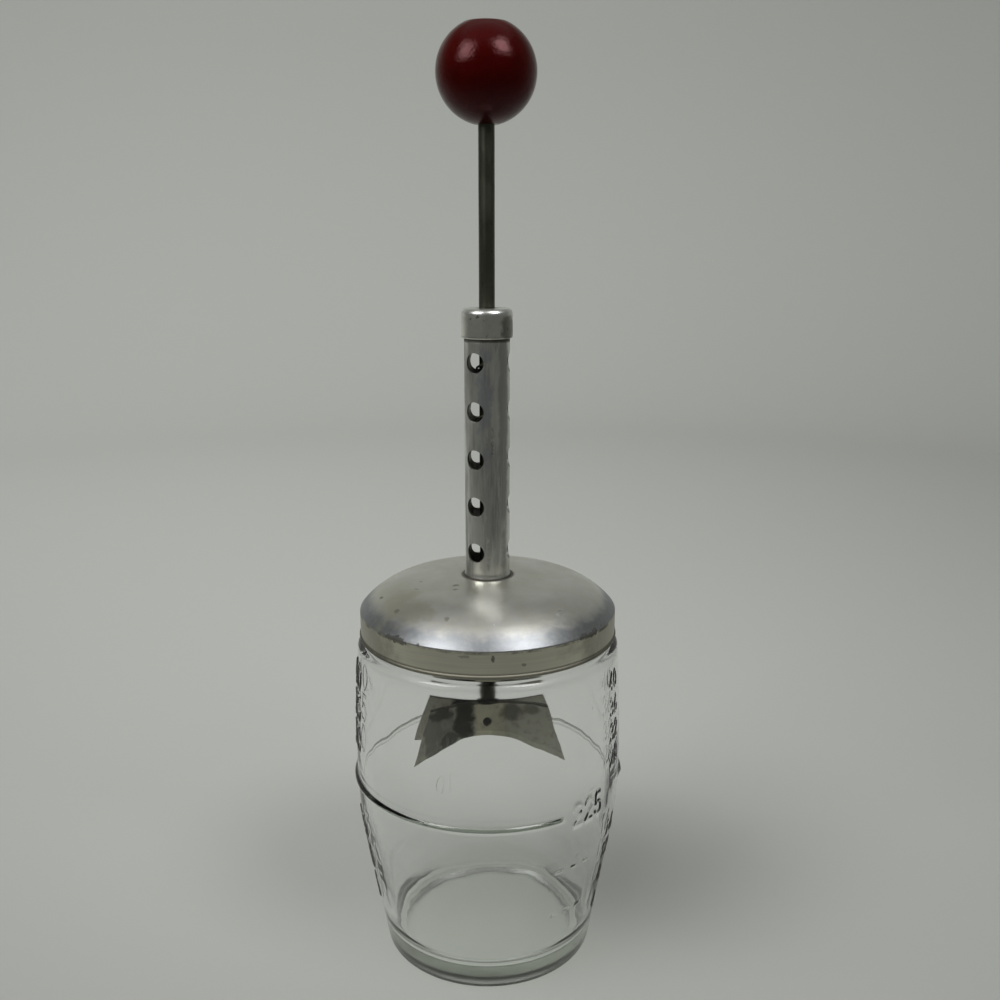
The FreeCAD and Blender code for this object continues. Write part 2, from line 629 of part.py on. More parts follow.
draw_circle(rivet_sketch, "0", "0 - blade_drop - rivet_drop", "rivet_radius + pin_fit")
cut_through(plunger_rod, "rod_rivet_bore", rivet_sketch)
cross_sketch = new_sketch(plunger_rod, "rod_pin_hole", "YZ_Plane")
draw_circle(cross_sketch, "0", "0", "pin_radius + pin_fit")
cut_through(plunger_rod, "rod_pin_bore", cross_sketch)

# Knob: a ball with a flat crown and a blind hole for the rod, with its origin at the ball's centre
KNOB_FOOT = "sqrt(knob_radius^2 - knob_foot_radius^2)"
KNOB_CROWN = "sqrt(knob_radius^2 - crown_radius^2)"

knob = new_body("knob", height=f"{PIN_HEIGHT} + knob_rise + {KNOB_FOOT}", turn="blade_turn")
knob_ball = revolve(
    knob,
    "knob_ball",
    [
        ("rod_radius + pin_fit", f"0 - {KNOB_FOOT}"),
        ("knob_foot_radius", f"0 - {KNOB_FOOT}", "knob_radius", "left"),
        ("crown_radius", KNOB_CROWN),
        ("0", KNOB_CROWN),
        ("0", f"knob_bore - {KNOB_FOOT}"),
        ("rod_radius + pin_fit", f"knob_bore - {KNOB_FOOT}"),
    ],
)
round_circles(knob, "knob_crown", knob_ball, [("crown_radius", KNOB_CROWN)], "knob_edge_round")

# Blades
# Each is a strip bent in two wide curves into a shallow trough round the rod's foot, then cut to its
# front outline: slanting ends, pointed tips, and between them an arch whose circle the straight edges
# from the tips meet in line. The cutting edge is ground on the outer face.
# The two are alike and stand back to back, so their wings make an X seen from above.
BACK_FACE = "(0 - tang_thickness / 2)"
FRONT_FACE = "(0 - tang_thickness / 2 - blade_sheet)"
BEND_CENTRE = f"({FRONT_FACE} - bend_radius)"
WING_LENGTH = "((tip_reach - blade_flat) / cos(bend_angle) + blade_sheet * 2)"
# A tip and the end of the arch, measured from the centre of the arch's circle
TIP_RISE = "(arch_radius + arch_depth - blade_depth)"
TIP_SQUARE = f"(tip_reach^2 + {TIP_RISE}^2)"
TIP_TANGENT = f"sqrt({TIP_SQUARE} - arch_radius^2)"
ARCH_END = f"((arch_radius^2 * tip_reach - arch_radius * {TIP_RISE} * {TIP_TANGENT}) / {TIP_SQUARE})"
ARCH_END_RISE = f"((arch_radius^2 * {TIP_RISE} + arch_radius * tip_reach * {TIP_TANGENT}) / {TIP_SQUARE})"


def bend_point(radius):
    """The formulas of the point where a bend of a radius ends and the wing begins."""
    return f"blade_flat + {radius} * sin(bend_angle)", f"{BEND_CENTRE} + {radius} * cos(bend_angle)"


def wing_end(radius):
    """The formulas of the end of the face of the wing that follows a bend of a radius."""
    across, along = bend_point(radius)
    return f"{across} + {WING_LENGTH} * cos(bend_angle)", f"{along} - {WING_LENGTH} * sin(bend_angle)"


def mirrored(corner, *arc):
    """A corner on the other side of the middle, with the arc that runs on from it."""
    return (f"0 - ({corner[0]})", corner[1], *arc)


def is_arch_edge(edge):
    """Whether an edge is the arch's curve on the outer face. The bevel runs on from it to both tips."""
    if not isinstance(edge.Curve, Part.Circle) or edge.BoundBox.YLength > 0.01:
        return False
    on_face = abs(edge.BoundBox.YMin - size(FRONT_FACE)) < 0.01
    return on_face and abs(edge.BoundBox.ZMax + size("arch_depth")) < 0.01


def make_blade(label, turn):
    """A blade, turned about the rod."""
    body = new_body(label, height=BLADE_TOP, turn=turn)
    outer_bend = "(bend_radius + blade_sheet)"
    arch_end_height = f"{ARCH_END_RISE} - arch_radius - arch_depth"
    back = ("blade_flat", BACK_FACE)
    front = ("blade_flat", FRONT_FACE)
    strip_sketch = new_sketch(body, f"{label}_bends", "XY_Plane")
    draw_outline(
        strip_sketch,
        [
            (*back, outer_bend, "right"),
            bend_point(outer_bend),
            wing_end(outer_bend),
            wing_end("bend_radius"),
            (*bend_point("bend_radius"), "bend_radius", "left"),
            front,
            mirrored(front, "bend_radius", "left"),
            mirrored(bend_point("bend_radius")),
            mirrored(wing_end("bend_radius")),
            mirrored(wing_end(outer_bend)),
            mirrored(bend_point(outer_bend), outer_bend, "right"),
            mirrored(back),
        ],
    )
    strip = body.newObject("PartDesign::Pad", f"{label}_strip")
    strip.Profile = strip_sketch
    strip.Reversed = True
    bind(strip, "Length", "blade_depth")
    document.recompute()

    outline_sketch = new_sketch(body, f"{label}_outline")
    waste_reach = "(tip_reach + blade_depth)"
    draw_outline(
        outline_sketch,
        [
            (f"0 - {waste_reach}", "0 - blade_depth * 2"),
            (waste_reach, "0 - blade_depth * 2"),
            (waste_reach, "blade_depth"),
            (f"0 - {waste_reach}", "blade_depth"),
        ],
    )
    draw_outline(
        outline_sketch,
        [
            ("0 - shoulder_reach", "0"),
            ("0 - tip_reach", "0 - blade_depth"),
            (f"0 - {ARCH_END}", arch_end_height, "arch_radius", "right"),
            (ARCH_END, arch_end_height),
            ("tip_reach", "0 - blade_depth"),
            ("shoulder_reach", "0"),
        ],
    )
    cut_through(body, f"{label}_cut", outline_sketch)
    hole_sketch = new_sketch(body, f"{label}_hole")
    draw_circle(hole_sketch, "0", "0 - rivet_drop", "rivet_radius + pin_fit")
    pierced = cut_through(body, f"{label}_rivet_bore", hole_sketch)

    grind = body.newObject("PartDesign::Chamfer", f"{label}_grind")
    grind.Base = (pierced, edges_where(pierced, is_arch_edge))
    grind.ChamferType = "Two distances"
    bind(grind, "Size", "blade_sheet - edge_land")
    bind(grind, "Size2", "grind_width")
    document.recompute()


for label, turn in (("blade_front", "blade_turn"), ("blade_back", "blade_turn + 180")):
    make_blade(label, turn)

# Blade rivet: a shank through both blades and the tang, with a low dome on each side
RIVET_FACE = "(tang_thickness / 2 + blade_sheet)"
RIVET_DOME = arc_radius("rivet_head_radius", "rivet_head_rise")

blade_rivet = new_body("blade_rivet", height=f"{BLADE_TOP} - rivet_drop", turn="blade_turn")
revolve(
    blade_rivet,
    "rivet_metal",
    [
        ("0", f"0 - {RIVET_FACE} - rivet_head_rise", RIVET_DOME, "left"),
        ("rivet_head_radius", f"0 - {RIVET_FACE}"),
        ("rivet_radius", f"0 - {RIVET_FACE}"),
        ("rivet_radius", RIVET_FACE),
        ("rivet_head_radius", RIVET_FACE, RIVET_DOME, "left"),
        ("0", f"{RIVET_FACE} + rivet_head_rise"),
    ],
    plane="XY_Plane",
)

# Every object is in order and every piece is a sound solid before anything is written
document.recompute()
for item in document.Objects:
    if "Invalid" in item.State or "Error" in item.State:
        raise RuntimeError(f"{item.Name} failed: {item.State}")
pieces = [item for item in document.Objects if item.isDerivedFrom("PartDesign::Body")] + [return_spring]
for piece in pieces:
    if piece.Shape.isNull() or not piece.Shape.isValid() or len(piece.Shape.Solids) != 1:
        raise RuntimeError(f"{piece.Label} is not one sound solid")

os.makedirs("parts", exist_ok=True)
for piece in pieces:
    piece.Shape.exportStep(os.path.join("parts", f"{piece.Label}.step"))
    box = piece.Shape.BoundBox
    extent = f"{box.XLength:.2f} x {box.YLength:.2f} x {box.ZLength:.2f} mm"
    print(f"{piece.Label}: {extent}, from height {box.ZMin:.2f}, volume {piece.Shape.Volume:.1f}")
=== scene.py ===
# A hand-pushed nut chopper: a pressed-glass measuring jar, an aluminium lid with an upright spring tube,
# and a ball-topped plunger that drives two crossed blades. Lengths are in metres, +Z is up, and the
# front is -Y. Azimuths are in degrees from the front, growing towards +X.
import functools
import json
import math

import bpy
import numpy as np
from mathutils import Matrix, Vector


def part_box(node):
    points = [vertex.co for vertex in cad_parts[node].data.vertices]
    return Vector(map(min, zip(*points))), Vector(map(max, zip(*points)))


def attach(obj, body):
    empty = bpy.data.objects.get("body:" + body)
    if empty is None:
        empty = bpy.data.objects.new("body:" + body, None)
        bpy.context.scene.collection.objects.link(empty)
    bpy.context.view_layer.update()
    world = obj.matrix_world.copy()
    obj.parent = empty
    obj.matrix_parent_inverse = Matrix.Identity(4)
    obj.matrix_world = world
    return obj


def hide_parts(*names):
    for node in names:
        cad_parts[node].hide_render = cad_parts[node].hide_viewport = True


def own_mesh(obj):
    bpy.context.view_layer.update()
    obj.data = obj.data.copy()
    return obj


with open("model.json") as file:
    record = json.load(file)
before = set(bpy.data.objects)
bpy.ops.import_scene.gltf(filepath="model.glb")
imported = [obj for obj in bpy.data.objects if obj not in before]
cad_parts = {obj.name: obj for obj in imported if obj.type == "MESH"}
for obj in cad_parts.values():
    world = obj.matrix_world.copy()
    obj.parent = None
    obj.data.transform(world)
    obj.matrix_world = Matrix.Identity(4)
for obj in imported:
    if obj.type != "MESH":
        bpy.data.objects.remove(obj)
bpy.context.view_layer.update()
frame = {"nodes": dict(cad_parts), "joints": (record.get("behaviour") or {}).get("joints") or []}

bl_info = {
    "name": "Nut Chopper",
    "version": (1, 0, 0),
    "blender": (4, 5, 0),
    "location": "3D View > Sidebar > Nut Chopper",
    "description": "Builds the glass, the spring, the finishes and the studio of a nut chopper",
    "category": "Object",
}

MM = 0.001

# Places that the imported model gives
JAR_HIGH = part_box("glass_jar")[1]
SPRING_LOW, SPRING_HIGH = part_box("return_spring")
LID_LOW, LID_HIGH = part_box("lid_shell")
TUBE_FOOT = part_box("spring_tube")[1].x
CAP_LOW, CAP_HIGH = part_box("tube_cap")
BLADE_LOW, BLADE_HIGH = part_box("blade_front")
ROD_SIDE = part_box("plunger_rod")[1].x


# Meshes

def mesh_object(name, points, faces):
    """A new smooth object from an array of points and a list of faces."""
    mesh = bpy.data.meshes.new(name)
    mesh.from_pydata(points.tolist(), [], faces)
    mesh.validate()
    mesh.shade_smooth()
    piece = bpy.data.objects.new(name, mesh)
    bpy.context.scene.collection.objects.link(piece)
    return piece


def grid_faces(rows, columns):
    """The quads of a grid of points whose rows are closed rings."""
    row, column = np.meshgrid(np.arange(rows - 1), np.arange(columns), indexing="ij")
    following = (column + 1) % columns
    corners = [row * columns + column, row * columns + following]
    corners += [(row + 1) * columns + following, (row + 1) * columns + column]
    return np.stack([corner.ravel() for corner in corners], axis=1)


def fan_faces(start, columns, pole):
    """The triangles from the ring of points that begins at a start to a pole."""
    ring = np.arange(columns)
    return np.stack([np.full(columns, pole), start + ring, start + (ring + 1) % columns], axis=1)


def closed_skin(rings, first_pole, last_pole):
    """Points and faces of a closed skin: rings of points, an array of rings x columns x 3, with each
    end drawn together to a pole."""
    rows, columns = rings.shape[:2]
    count = rows * columns
    points = np.concatenate([rings.reshape(-1, 3), [first_pole], [last_pole]])
    first_fan = fan_faces(0, columns, count)[:, [0, 2, 1]]
    last_fan = fan_faces(count - columns, columns, count + 1)
    return points, grid_faces(rows, columns).tolist() + first_fan.tolist() + last_fan.tolist()


def rounded_outline(corners, turn_per_point=6.0):
    """The points of an outline of corners (across, up, round). Where a round is given, an arc of that
    radius touches both sides of the corner."""
    points = [np.array(corners[0][:2])]
    for before, corner, after in zip(corners, corners[1:], corners[2:]):
        middle = np.array(corner[:2])
        if corner[2] == 0:
            points.append(middle)
            continue
        back = np.array(before[:2]) - middle
        ahead = np.array(after[:2]) - middle
        back /= np.linalg.norm(back)
        ahead /= np.linalg.norm(ahead)
        half = math.acos(np.clip(back @ ahead, -1, 1)) / 2
        centre = middle + (back + ahead) / np.linalg.norm(back + ahead) * corner[2] / math.sin(half)
        start = middle + back * corner[2] / math.tan(half) - centre
        turn = math.pi - 2 * half
        turn *= math.copysign(1, ahead[0] * back[1] - ahead[1] * back[0])
        count = max(int(abs(math.degrees(turn)) / turn_per_point), 2)
        angles = np.linspace(0, turn, count + 1)
        across = centre[0] + start[0] * np.cos(angles) - start[1] * np.sin(angles)
        up = centre[1] + start[0] * np.sin(angles) + start[1] * np.cos(angles)
        points += list(np.column_stack([across, up]))
    points.append(np.array(corners[-1][:2]))
    return np.array(points)


def marked_off(path, spacing):
    """Points along a path whose gaps follow a spacing, a function of a point's place: the path's
    length is counted in steps of the local spacing, and whole steps are marked off."""
    fine = 0.1 * MM
    lengths = np.concatenate([[0], np.cumsum(np.hypot(*np.diff(path, axis=0).T))])
    along = np.linspace(0, lengths[-1], int(lengths[-1] / fine))
    dense = np.column_stack([np.interp(along, lengths, path[:, side]) for side in (0, 1)])
    local = spacing(dense)
    steps = np.concatenate([[0], np.cumsum(np.diff(along) / (local[1:] + local[:-1]) * 2)])
    wanted = np.linspace(0, steps[-1], int(round(steps[-1])) + 1)
    return np.column_stack([np.interp(wanted, steps, dense[:, side]) for side in (0, 1)])


def soft_step(low, high, value):
    """0 below low, 1 above high, and a smooth S between them."""
    share = np.clip((value - low) / (high - low), 0, 1)
    return share * share * (3 - 2 * share)


# Shader nodes

class Value:
    """What a node puts out, ready for sums and products with numbers and other values. A bar between
    two values keeps the higher one."""

    def __init__(self, socket):
        self.socket = socket
        self.tree = socket.id_data

    def maths(self, operation, other=None, output=0):
        """The result of a Math node, or of a Vector Math node where this is no single number."""
        kind = "ShaderNodeMath" if self.socket.type == "VALUE" else "ShaderNodeVectorMath"
        inputs = {0: self} if other is None else {0: self, 1: other}
        return result(self.tree, kind, inputs, output, operation=operation)

    def __rsub__(self, other):
        """A number less this value."""
        return result(self.tree, "ShaderNodeMath", {0: other, 1: self}, operation="SUBTRACT")

    __add__ = __radd__ = functools.partialmethod(maths, "ADD")
    __sub__ = functools.partialmethod(maths, "SUBTRACT")
    __mul__ = functools.partialmethod(maths, "MULTIPLY")
    __truediv__ = functools.partialmethod(maths, "DIVIDE")
    __or__ = functools.partialmethod(maths, "MAXIMUM")


def feed(node, inputs):
    """Link a node's inputs to values, or set them. A colour gets full alpha."""
    for name, value in inputs.items():
        socket = node.inputs[name]
        if isinstance(value, Value):
            value.tree.links.new(value.socket, socket)
        elif socket.type == "RGBA":
            socket.default_value = (*value, 1)
        else:
            socket.default_value = value


def put(tree, kind, inputs, **settings):
    """Add a node to a tree, give it its settings and feed its inputs."""
    node = tree.nodes.new(kind)
    for name, value in settings.items():
        setattr(node, name, value)
    feed(node, inputs)
    return node


def result(tree, kind, inputs, output=0, **settings):
    """One output of a new node."""
    return Value(put(tree, kind, inputs, **settings).outputs[output])


def spread(value, low, high, to_low=0.0, to_high=1.0):
    """A value stretched from one range to another with soft ends."""
    inputs = {"Value": value, "From Min": low, "From Max": high, "To Min": to_low, "To Max": to_high}
    return result(value.tree, "ShaderNodeMapRange", inputs, "Result", interpolation_type="SMOOTHSTEP")


def falling(value, low, high):
    """1 below low, 0 above high, and a soft fall between them."""
    return spread(value, low, high, 1.0, 0.0)


def below(height, level, low, high):
    """1 up to low millimetres over a level, 0 past high ones, and a soft fall between them."""
    return falling(height, level + low * MM, level + high * MM)


def above(height, level, low, high):
    """0 up to low millimetres over a level, 1 past high ones, and a soft rise between them."""
    return spread(height, level + low * MM, level + high * MM)


def band(height, level, middle, half, soft):
    """1 within a half width of a middle over a level, and 0 past the soft edge, in millimetres."""
    away = (height - (level + middle * MM)).maths("ABSOLUTE")
    return falling(away, half * MM, half * MM + soft * MM)


def part_of(place, axis):
    """One coordinate of a place."""
    return result(place.tree, "ShaderNodeSeparateXYZ", {0: place}, axis)


def from_axis(place):
    """The distance from the upright axis."""
    return (place * (1, 1, 0)).maths("LENGTH", output="Value")


def stretched(place, scale):
    """Coordinates with a scale each along X, Y and Z."""
    return result(place.tree, "ShaderNodeMapping", {"Vector": place, "Scale": scale})


def noise(place, scale, detail=3.0, roughness=0.55):
    """The value of a Noise texture, whose scale is about its number of waves in a metre."""
    inputs = {"Vector": place, "Scale": scale, "Detail": detail, "Roughness": roughness}
    return result(place.tree, "ShaderNodeTexNoise", inputs, "Fac")


def layered(base, *layers):
    """A colour with others laid over it, each one (mask, colour)."""
    for mask, shade in layers:
        base = result(mask.tree, "ShaderNodeMix", {0: mask, 6: base, 7: shade}, 2, data_type="RGBA")
    return base


def bumped(*layers):
    """The normal of a surface raised by one height after another, each one (height, millimetres)."""
    normal = {}
    for height, distance in layers:
        inputs = {"Height": height, "Distance": distance * MM, "Strength": 1.0, **normal}
        normal = {"Normal": result(height.tree, "ShaderNodeBump", inputs)}
    return normal["Normal"]


# Settings that a user would change

def length(name, description, millimetres):
    """A length property, given in millimetres and kept in metres."""
    return bpy.props.FloatProperty(
        name=name, description=description, default=millimetres * MM, min=0, precision=5,
        subtype="DISTANCE", unit="LENGTH")


def angle(name, description, degrees):
    """An angle property, given in degrees and kept in radians."""
    return bpy.props.FloatProperty(
        name=name, description=description, default=math.radians(degrees), subtype="ANGLE", unit="ROTATION")


def amount(name, description, default, **settings):
    """A property that is no length or angle."""
    return bpy.props.FloatProperty(name=name, description=description, default=default, **settings)


def colour(name, description, red, green, blue):
    """A colour property."""
    return bpy.props.FloatVectorProperty(
        name=name, description=description, default=(red, green, blue), min=0, max=1, subtype="COLOR")


class JarSettings(bpy.types.PropertyGroup):
    """Sizes and colour of the glass jar."""
    wall: length("Wall", "Thickness of the side wall, measured level", 3.0)
    floor: length("Floor", "Thickness of the glass under the nuts", 6.0)
    floor_round: length("Floor round", "Round between the floor and the wall, inside", 6.5)
    foot_radius: length("Foot radius", "Outside of the foot, before its heel is rounded", 33.8)
    heel_round: length("Heel round", "Round of the heel", 1.5)
    foot_ring: length("Foot ring", "Width of the ring that the jar stands on", 4.3)
    punt_depth: length("Punt depth", "Depth of the hollow inside that ring", 1.0)
    taper_top: length("Taper top", "Height where the straight taper ends", 41.0)
    belly_radius: length("Belly radius", "Widest radius of the wall", 42.7)
    belly_height: length("Belly height", "Height of the widest place", 62.0)
    shoulder_draw: length("Shoulder draw", "How far the wall draws in from the belly to the shoulder", 1.4)
    shoulder_drop: length("Shoulder drop", "Rim down to where the shoulder begins", 12.1)
    shoulder_sink: length("Shoulder sink", "How far the shoulder's inside lies below its outside", 2.0)
    shoulder_round: length("Shoulder round", "Round at the start of the shoulder", 2.0)
    neck_step: length("Neck step", "How far the shoulder draws in to the neck", 2.5)
    neck_length: length("Neck length", "Rim down to where the neck begins", 10.9)
    neck_hollow: length("Neck hollow", "Hollow round between the shoulder and the neck", 0.8)
    neck_bead_drop: length("Neck bead drop", "Rim down to the middle of the neck's bead", 6.4)
    neck_bead_width: length("Neck bead width", "Height of that bead", 3.0)
    neck_bead_relief: length("Neck bead relief", "How far that bead stands out", 0.8)
    rim_round: length("Rim round", "Round of the rim's edges", 1.2)
    ring_height: length("Ring height", "Height of the raised measuring ring", 59.8)
    ring_width: length("Ring width", "Height of the ring's section", 2.2)
    ring_relief: length("Ring relief", "How far the ring stands out of the wall", 0.9)
    ring_gap: angle("Ring gap", "Azimuth of the middle of the ring's break", 56.5)
    ring_gap_sweep: angle("Ring gap sweep", "Sweep of that break", 47.0)
    mark_relief: length("Mark relief", "How far figures and dashes stand out of the wall", 0.3)
    mark_stroke: length("Mark stroke", "Half the width of a figure's stroke", 0.44)
    tint: colour("Tint", "Colour that light keeps on its way through thick glass", 0.80, 0.85, 0.765)
    depth: amount("Depth", "How strongly the glass takes up the other colours", 19.0, min=0)


class SpringSettings(bpy.types.PropertyGroup):
    """Sizes of the return spring."""
    coil_radius: length("Coil radius", "Radius of the coil, to the middle of the wire", 3.1)
    wire_radius: length("Wire radius", "Radius of the wire", 0.35)
    turns: amount("Turns", "Turns from end to end", 12.25, min=1)
    end_turns: amount("End turns", "Turns at each end that lie close together", 0.75, min=0)
    end_gap: length("End gap", "Gap between the close turns", 0.55)


class FinishSettings(bpy.types.PropertyGroup):
    """Colours of the metals and the paint."""
    lid: colour("Lid", "Bright aluminium of the lid", 0.88, 0.885, 0.86)
    # The lid edge is worn aluminium whose dark bluish tone also paints the dim reflection just above the
    # crease
    lid_edge: colour("Lid edge", "Worn aluminium above the crease", 0.34, 0.355, 0.375)
    lid_film: colour("Lid film", "Dull yellowish film on the dome", 0.66, 0.645, 0.555)
    skirt: colour("Skirt", "Dull skirt of the lid", 0.76, 0.735, 0.61)
    cap: colour("Cap", "Pressed aluminium of the cap", 0.86, 0.86, 0.80)
    tube: colour("Tube", "Drawn aluminium of the tube", 0.82, 0.82, 0.77)
    tube_dark: colour("Tube, dark", "Dark patches on the tube", 0.29, 0.29, 0.275)
    tube_cool: colour("Tube, cool", "Bluish patches on the tube", 0.58, 0.60, 0.665)
    rod: colour("Rod", "Dark steel of the rod", 0.115, 0.12, 0.092)
    blade: colour("Blade", "Grey steel of the blades", 0.42, 0.41, 0.345)
    blade_flat: colour("Blade flat", "Beige film on the blades' middle", 0.52, 0.495, 0.38)
    blade_stain: colour("Blade stain", "Dark stains on the blades", 0.024, 0.022, 0.013)
    zinc: colour("Zinc", "Plated steel of the washers and the pin", 0.40, 0.40, 0.38)
    # This colour paints both old soiling and the shade in crevices and along edges
    grime: colour("Grime", "Old dirt in the crevices", 0.045, 0.04, 0.028)
    paint: colour("Paint", "Red enamel of the knob", 0.033, 0.0006, 0.0003)


class StudioSettings(bpy.types.PropertyGroup):
    """The floor, the lamps and the camera."""
    floor: colour("Floor", "Colour of the floor and the backdrop", 0.46, 0.47, 0.445)
    lamp_power: amount("Lamp power", "Power of each of the two small front lamps", 0.36, min=0, unit="POWER")
    backdrop_power: amount("Backdrop power", "Power of the lamp over the backdrop", 9.5, min=0, unit="POWER")
    sky: amount("Sky", "Strength of the light from above", 0.285, min=0)
    focal_length: amount("Focal length", "Lens on a 36 mm sensor", 39.13, min=1, unit="CAMERA")
    camera_tilt: angle("Camera tilt", "How far the camera looks down", 13.9)


# Glass jar

# A figure's strokes in a box 1 wide and 2 tall: a line is (x, y, x, y), an arc is (middle x, middle y,
# radius across, radius up, first angle, last angle)
FIGURES = {
    "0": [(0.5, 1, 0.5, 1, 0, 360)],
    "1": [(0.5, 0, 0.5, 2), (0.15, 1.6, 0.5, 2)],
    "2": [(0.5, 1.5, 0.5, 0.5, 180, -35), (0.91, 1.21, 0, 0), (0, 0, 1, 0)],
    "3": [(0.5, 1.5, 0.45, 0.5, 150, -90), (0.5, 0.5, 0.5, 0.5, 90, -150)],
    "4": [(0.75, 0, 0.75, 2), (0.75, 2, 0, 0.6), (0, 0.6, 1, 0.6)],
    "5": [(0.9, 2, 0.15, 2), (0.15, 2, 0.1, 1.1), (0.48, 0.62, 0.5, 0.62, 140, -150)],
    "6": [(0.5, 0.6, 0.5, 0.6, 0, 360), (0.06, 0.85, 0.65, 2)],
    "8": [(0.5, 1.52, 0.42, 0.48, 0, 360), (0.5, 0.52, 0.5, 0.52, 0, 360)],
    "-": [(0.15, 1, 0.85, 1)],
}
FIGURE_WIDTH = 0.25  # half a figure's width as a share of its height
FIGURE_PITCH = 0.72  # from one figure to the next, as a share of the height
FIGURE_SIZE = 5.6 * MM  # height of the figure that the mark relief is given for

# Columns of figures: azimuth, height of a figure in millimetres, and the centilitres
FIGURE_COLUMNS = (
    (-76, 8.2, (5, 10, 15, 30, 35, 40)),
    (68, 5.4, (4, 8, 12, 16, 28, 32, 36, 40)),
    (205, 6.5, (10,)),
)
RING_FIGURES = ("225", 46.5, 6.6)  # what stands in the ring's break, its azimuth and its height
DASH_AZIMUTHS = (32.5, 40, 47.5)
DASH_LEVELS = (6.5, 13.5)  # centilitres
DASH_SIZE = 5.0

# Slow waves in the glass's inside: height in millimetres, waves round, radians in a metre up, and start
WAVES = ((0.10, 3, 90, 0), (0.07, 5, -160, 1), (0.05, 9, 60, 2))

# Gaps between the rows of points, in millimetres
OUTSIDE_GAP, INSIDE_GAP, RIM_GAP, FOOT_GAP = 1.4, 2.1, 0.5, 0.4
MARK_GAP, RING_GAP = 0.42, 0.22


def figure_strokes(figure):
    """The strokes of a figure as an array of straight pieces (x, y, x, y). An arc becomes a chain."""
    pieces = []
    for stroke in FIGURES[figure]:
        if len(stroke) == 4:
            pieces.append([stroke])
            continue
        x, y, across, up, first, last = stroke
        turns = np.radians(np.linspace(first, last, 17))
        chain = np.column_stack([x + across * np.cos(turns), y + up * np.sin(turns)])
        pieces.append(np.hstack([chain[:-1], chain[1:]]))
    return np.vstack(pieces)


def stroke_distance(across, up, pieces):
    """The distance of each point of two equal grids to the nearest of some straight pieces: the point
    is dropped onto each piece, and the foot is kept between the piece's ends."""
    start, end = pieces[:, :2], pieces[:, 2:]
    way = end - start
    long = np.maximum((way ** 2).sum(axis=1), 1e-12)
    off_x = across[..., None] - start[:, 0]
    off_y = up[..., None] - start[:, 1]
    share = np.clip((off_x * way[:, 0] + off_y * way[:, 1]) / long, 0, 1)
    return np.hypot(off_x - share * way[:, 0], off_y - share * way[:, 1]).min(axis=-1)


def wall_outline(jar, inset, sink):
    """One face of the wall from the end of the straight taper to the neck: an arc out to the belly, a
    flatter one in to the shoulder, and the ledge of the shoulder. The face is drawn in by an inset, and
    its shoulder lies lower by a sink."""
    slope = (jar.belly_radius - jar.foot_radius) / ((jar.taper_top + jar.belly_height) / 2)
    taper_end = jar.foot_radius + jar.taper_top * slope
    shoulder = jar.belly_radius - jar.shoulder_draw
    shoulder_height = JAR_HIGH.z - jar.shoulder_drop - sink

    def arc_from_belly(height, radius):
        """Points between the belly and the height where the arc reaches a radius."""
        rise = jar.belly_radius - radius
        reach = height - jar.belly_height
        bend = (reach ** 2 + rise ** 2) / (2 * rise)
        centre = jar.belly_radius - bend
        return [(centre + math.sqrt(bend ** 2 - off ** 2), jar.belly_height + off, 0)
                for off in np.linspace(0, reach, 24)[1:-1]]

    corners = [
        (taper_end, jar.taper_top, 0),
        *reversed(arc_from_belly(jar.taper_top, taper_end)),
        (jar.belly_radius, jar.belly_height, 0),
        *arc_from_belly(shoulder_height, shoulder),
        (shoulder, shoulder_height, jar.shoulder_round),
        (shoulder - jar.neck_step, JAR_HIGH.z - jar.neck_length - sink, jar.neck_hollow),
    ]
    return [(across - inset, up, turn) for across, up, turn in corners]


def outer_outline(jar):
    """The jar's outside from the heel to the rim, with the bead on its neck."""
    neck = jar.belly_radius - jar.shoulder_draw - jar.neck_step
    bead = JAR_HIGH.z - jar.neck_bead_drop
    shares = np.linspace(-1, 1, 13)
    bead_arc = [(neck + jar.neck_bead_relief * (1 - share ** 2), bead + jar.neck_bead_width / 2 * share, 0)
                for share in shares]
    foot = (jar.foot_radius, 0, jar.heel_round)
    return [foot, *wall_outline(jar, 0, 0), *bead_arc, (neck, JAR_HIGH.z, jar.rim_round)]


def inner_outline(jar):
    """The jar's inside from the rim to the middle of the floor."""
    slope = (jar.belly_radius - jar.foot_radius) / ((jar.taper_top + jar.belly_height) / 2)
    neck = jar.belly_radius - jar.shoulder_draw - jar.neck_step - jar.wall
    floor_radius = jar.foot_radius + jar.floor * slope - jar.wall
    wall = wall_outline(jar, jar.wall, jar.shoulder_sink)
    floor = [(floor_radius, jar.floor, jar.floor_round), (0, jar.floor, 0)]
    return [(neck, JAR_HIGH.z, jar.rim_round), *reversed(wall), *floor]


def level_of(volume, inside):
    """The height up to which the jar holds a volume in cubic metres: the discs of the inside are added
    up from the floor."""
    up = np.linspace(inside[:, 1].min(), JAR_HIGH.z - 10 * MM, 400)
    order = np.argsort(inside[:, 1], kind="stable")
    across = np.interp(up, inside[order, 1], inside[order, 0])
    held = np.concatenate([[0], np.cumsum(math.pi * across[1:] ** 2 * np.diff(up))])
    return float(np.interp(volume, held, up))


def jar_marks(jar, inside):
    """The raised figures and dashes: (text, azimuth, height, size). The figures are plain measures in
    centilitres, each at the level that holds it, and the one in the ring's break is in millilitres.
    Rows of dashes stand for levels between."""
    def level(centilitres):
        return level_of(centilitres * 1e-5, inside)

    marks = [(str(step), azimuth, level(step), tall * MM)
             for azimuth, tall, steps in FIGURE_COLUMNS for step in steps]
    text, azimuth, tall = RING_FIGURES
    marks.append((text, azimuth, jar.ring_height, tall * MM))
    marks += [("-", azimuth, level(step), DASH_SIZE * MM)
              for step in DASH_LEVELS for azimuth in DASH_AZIMUTHS]
    return marks


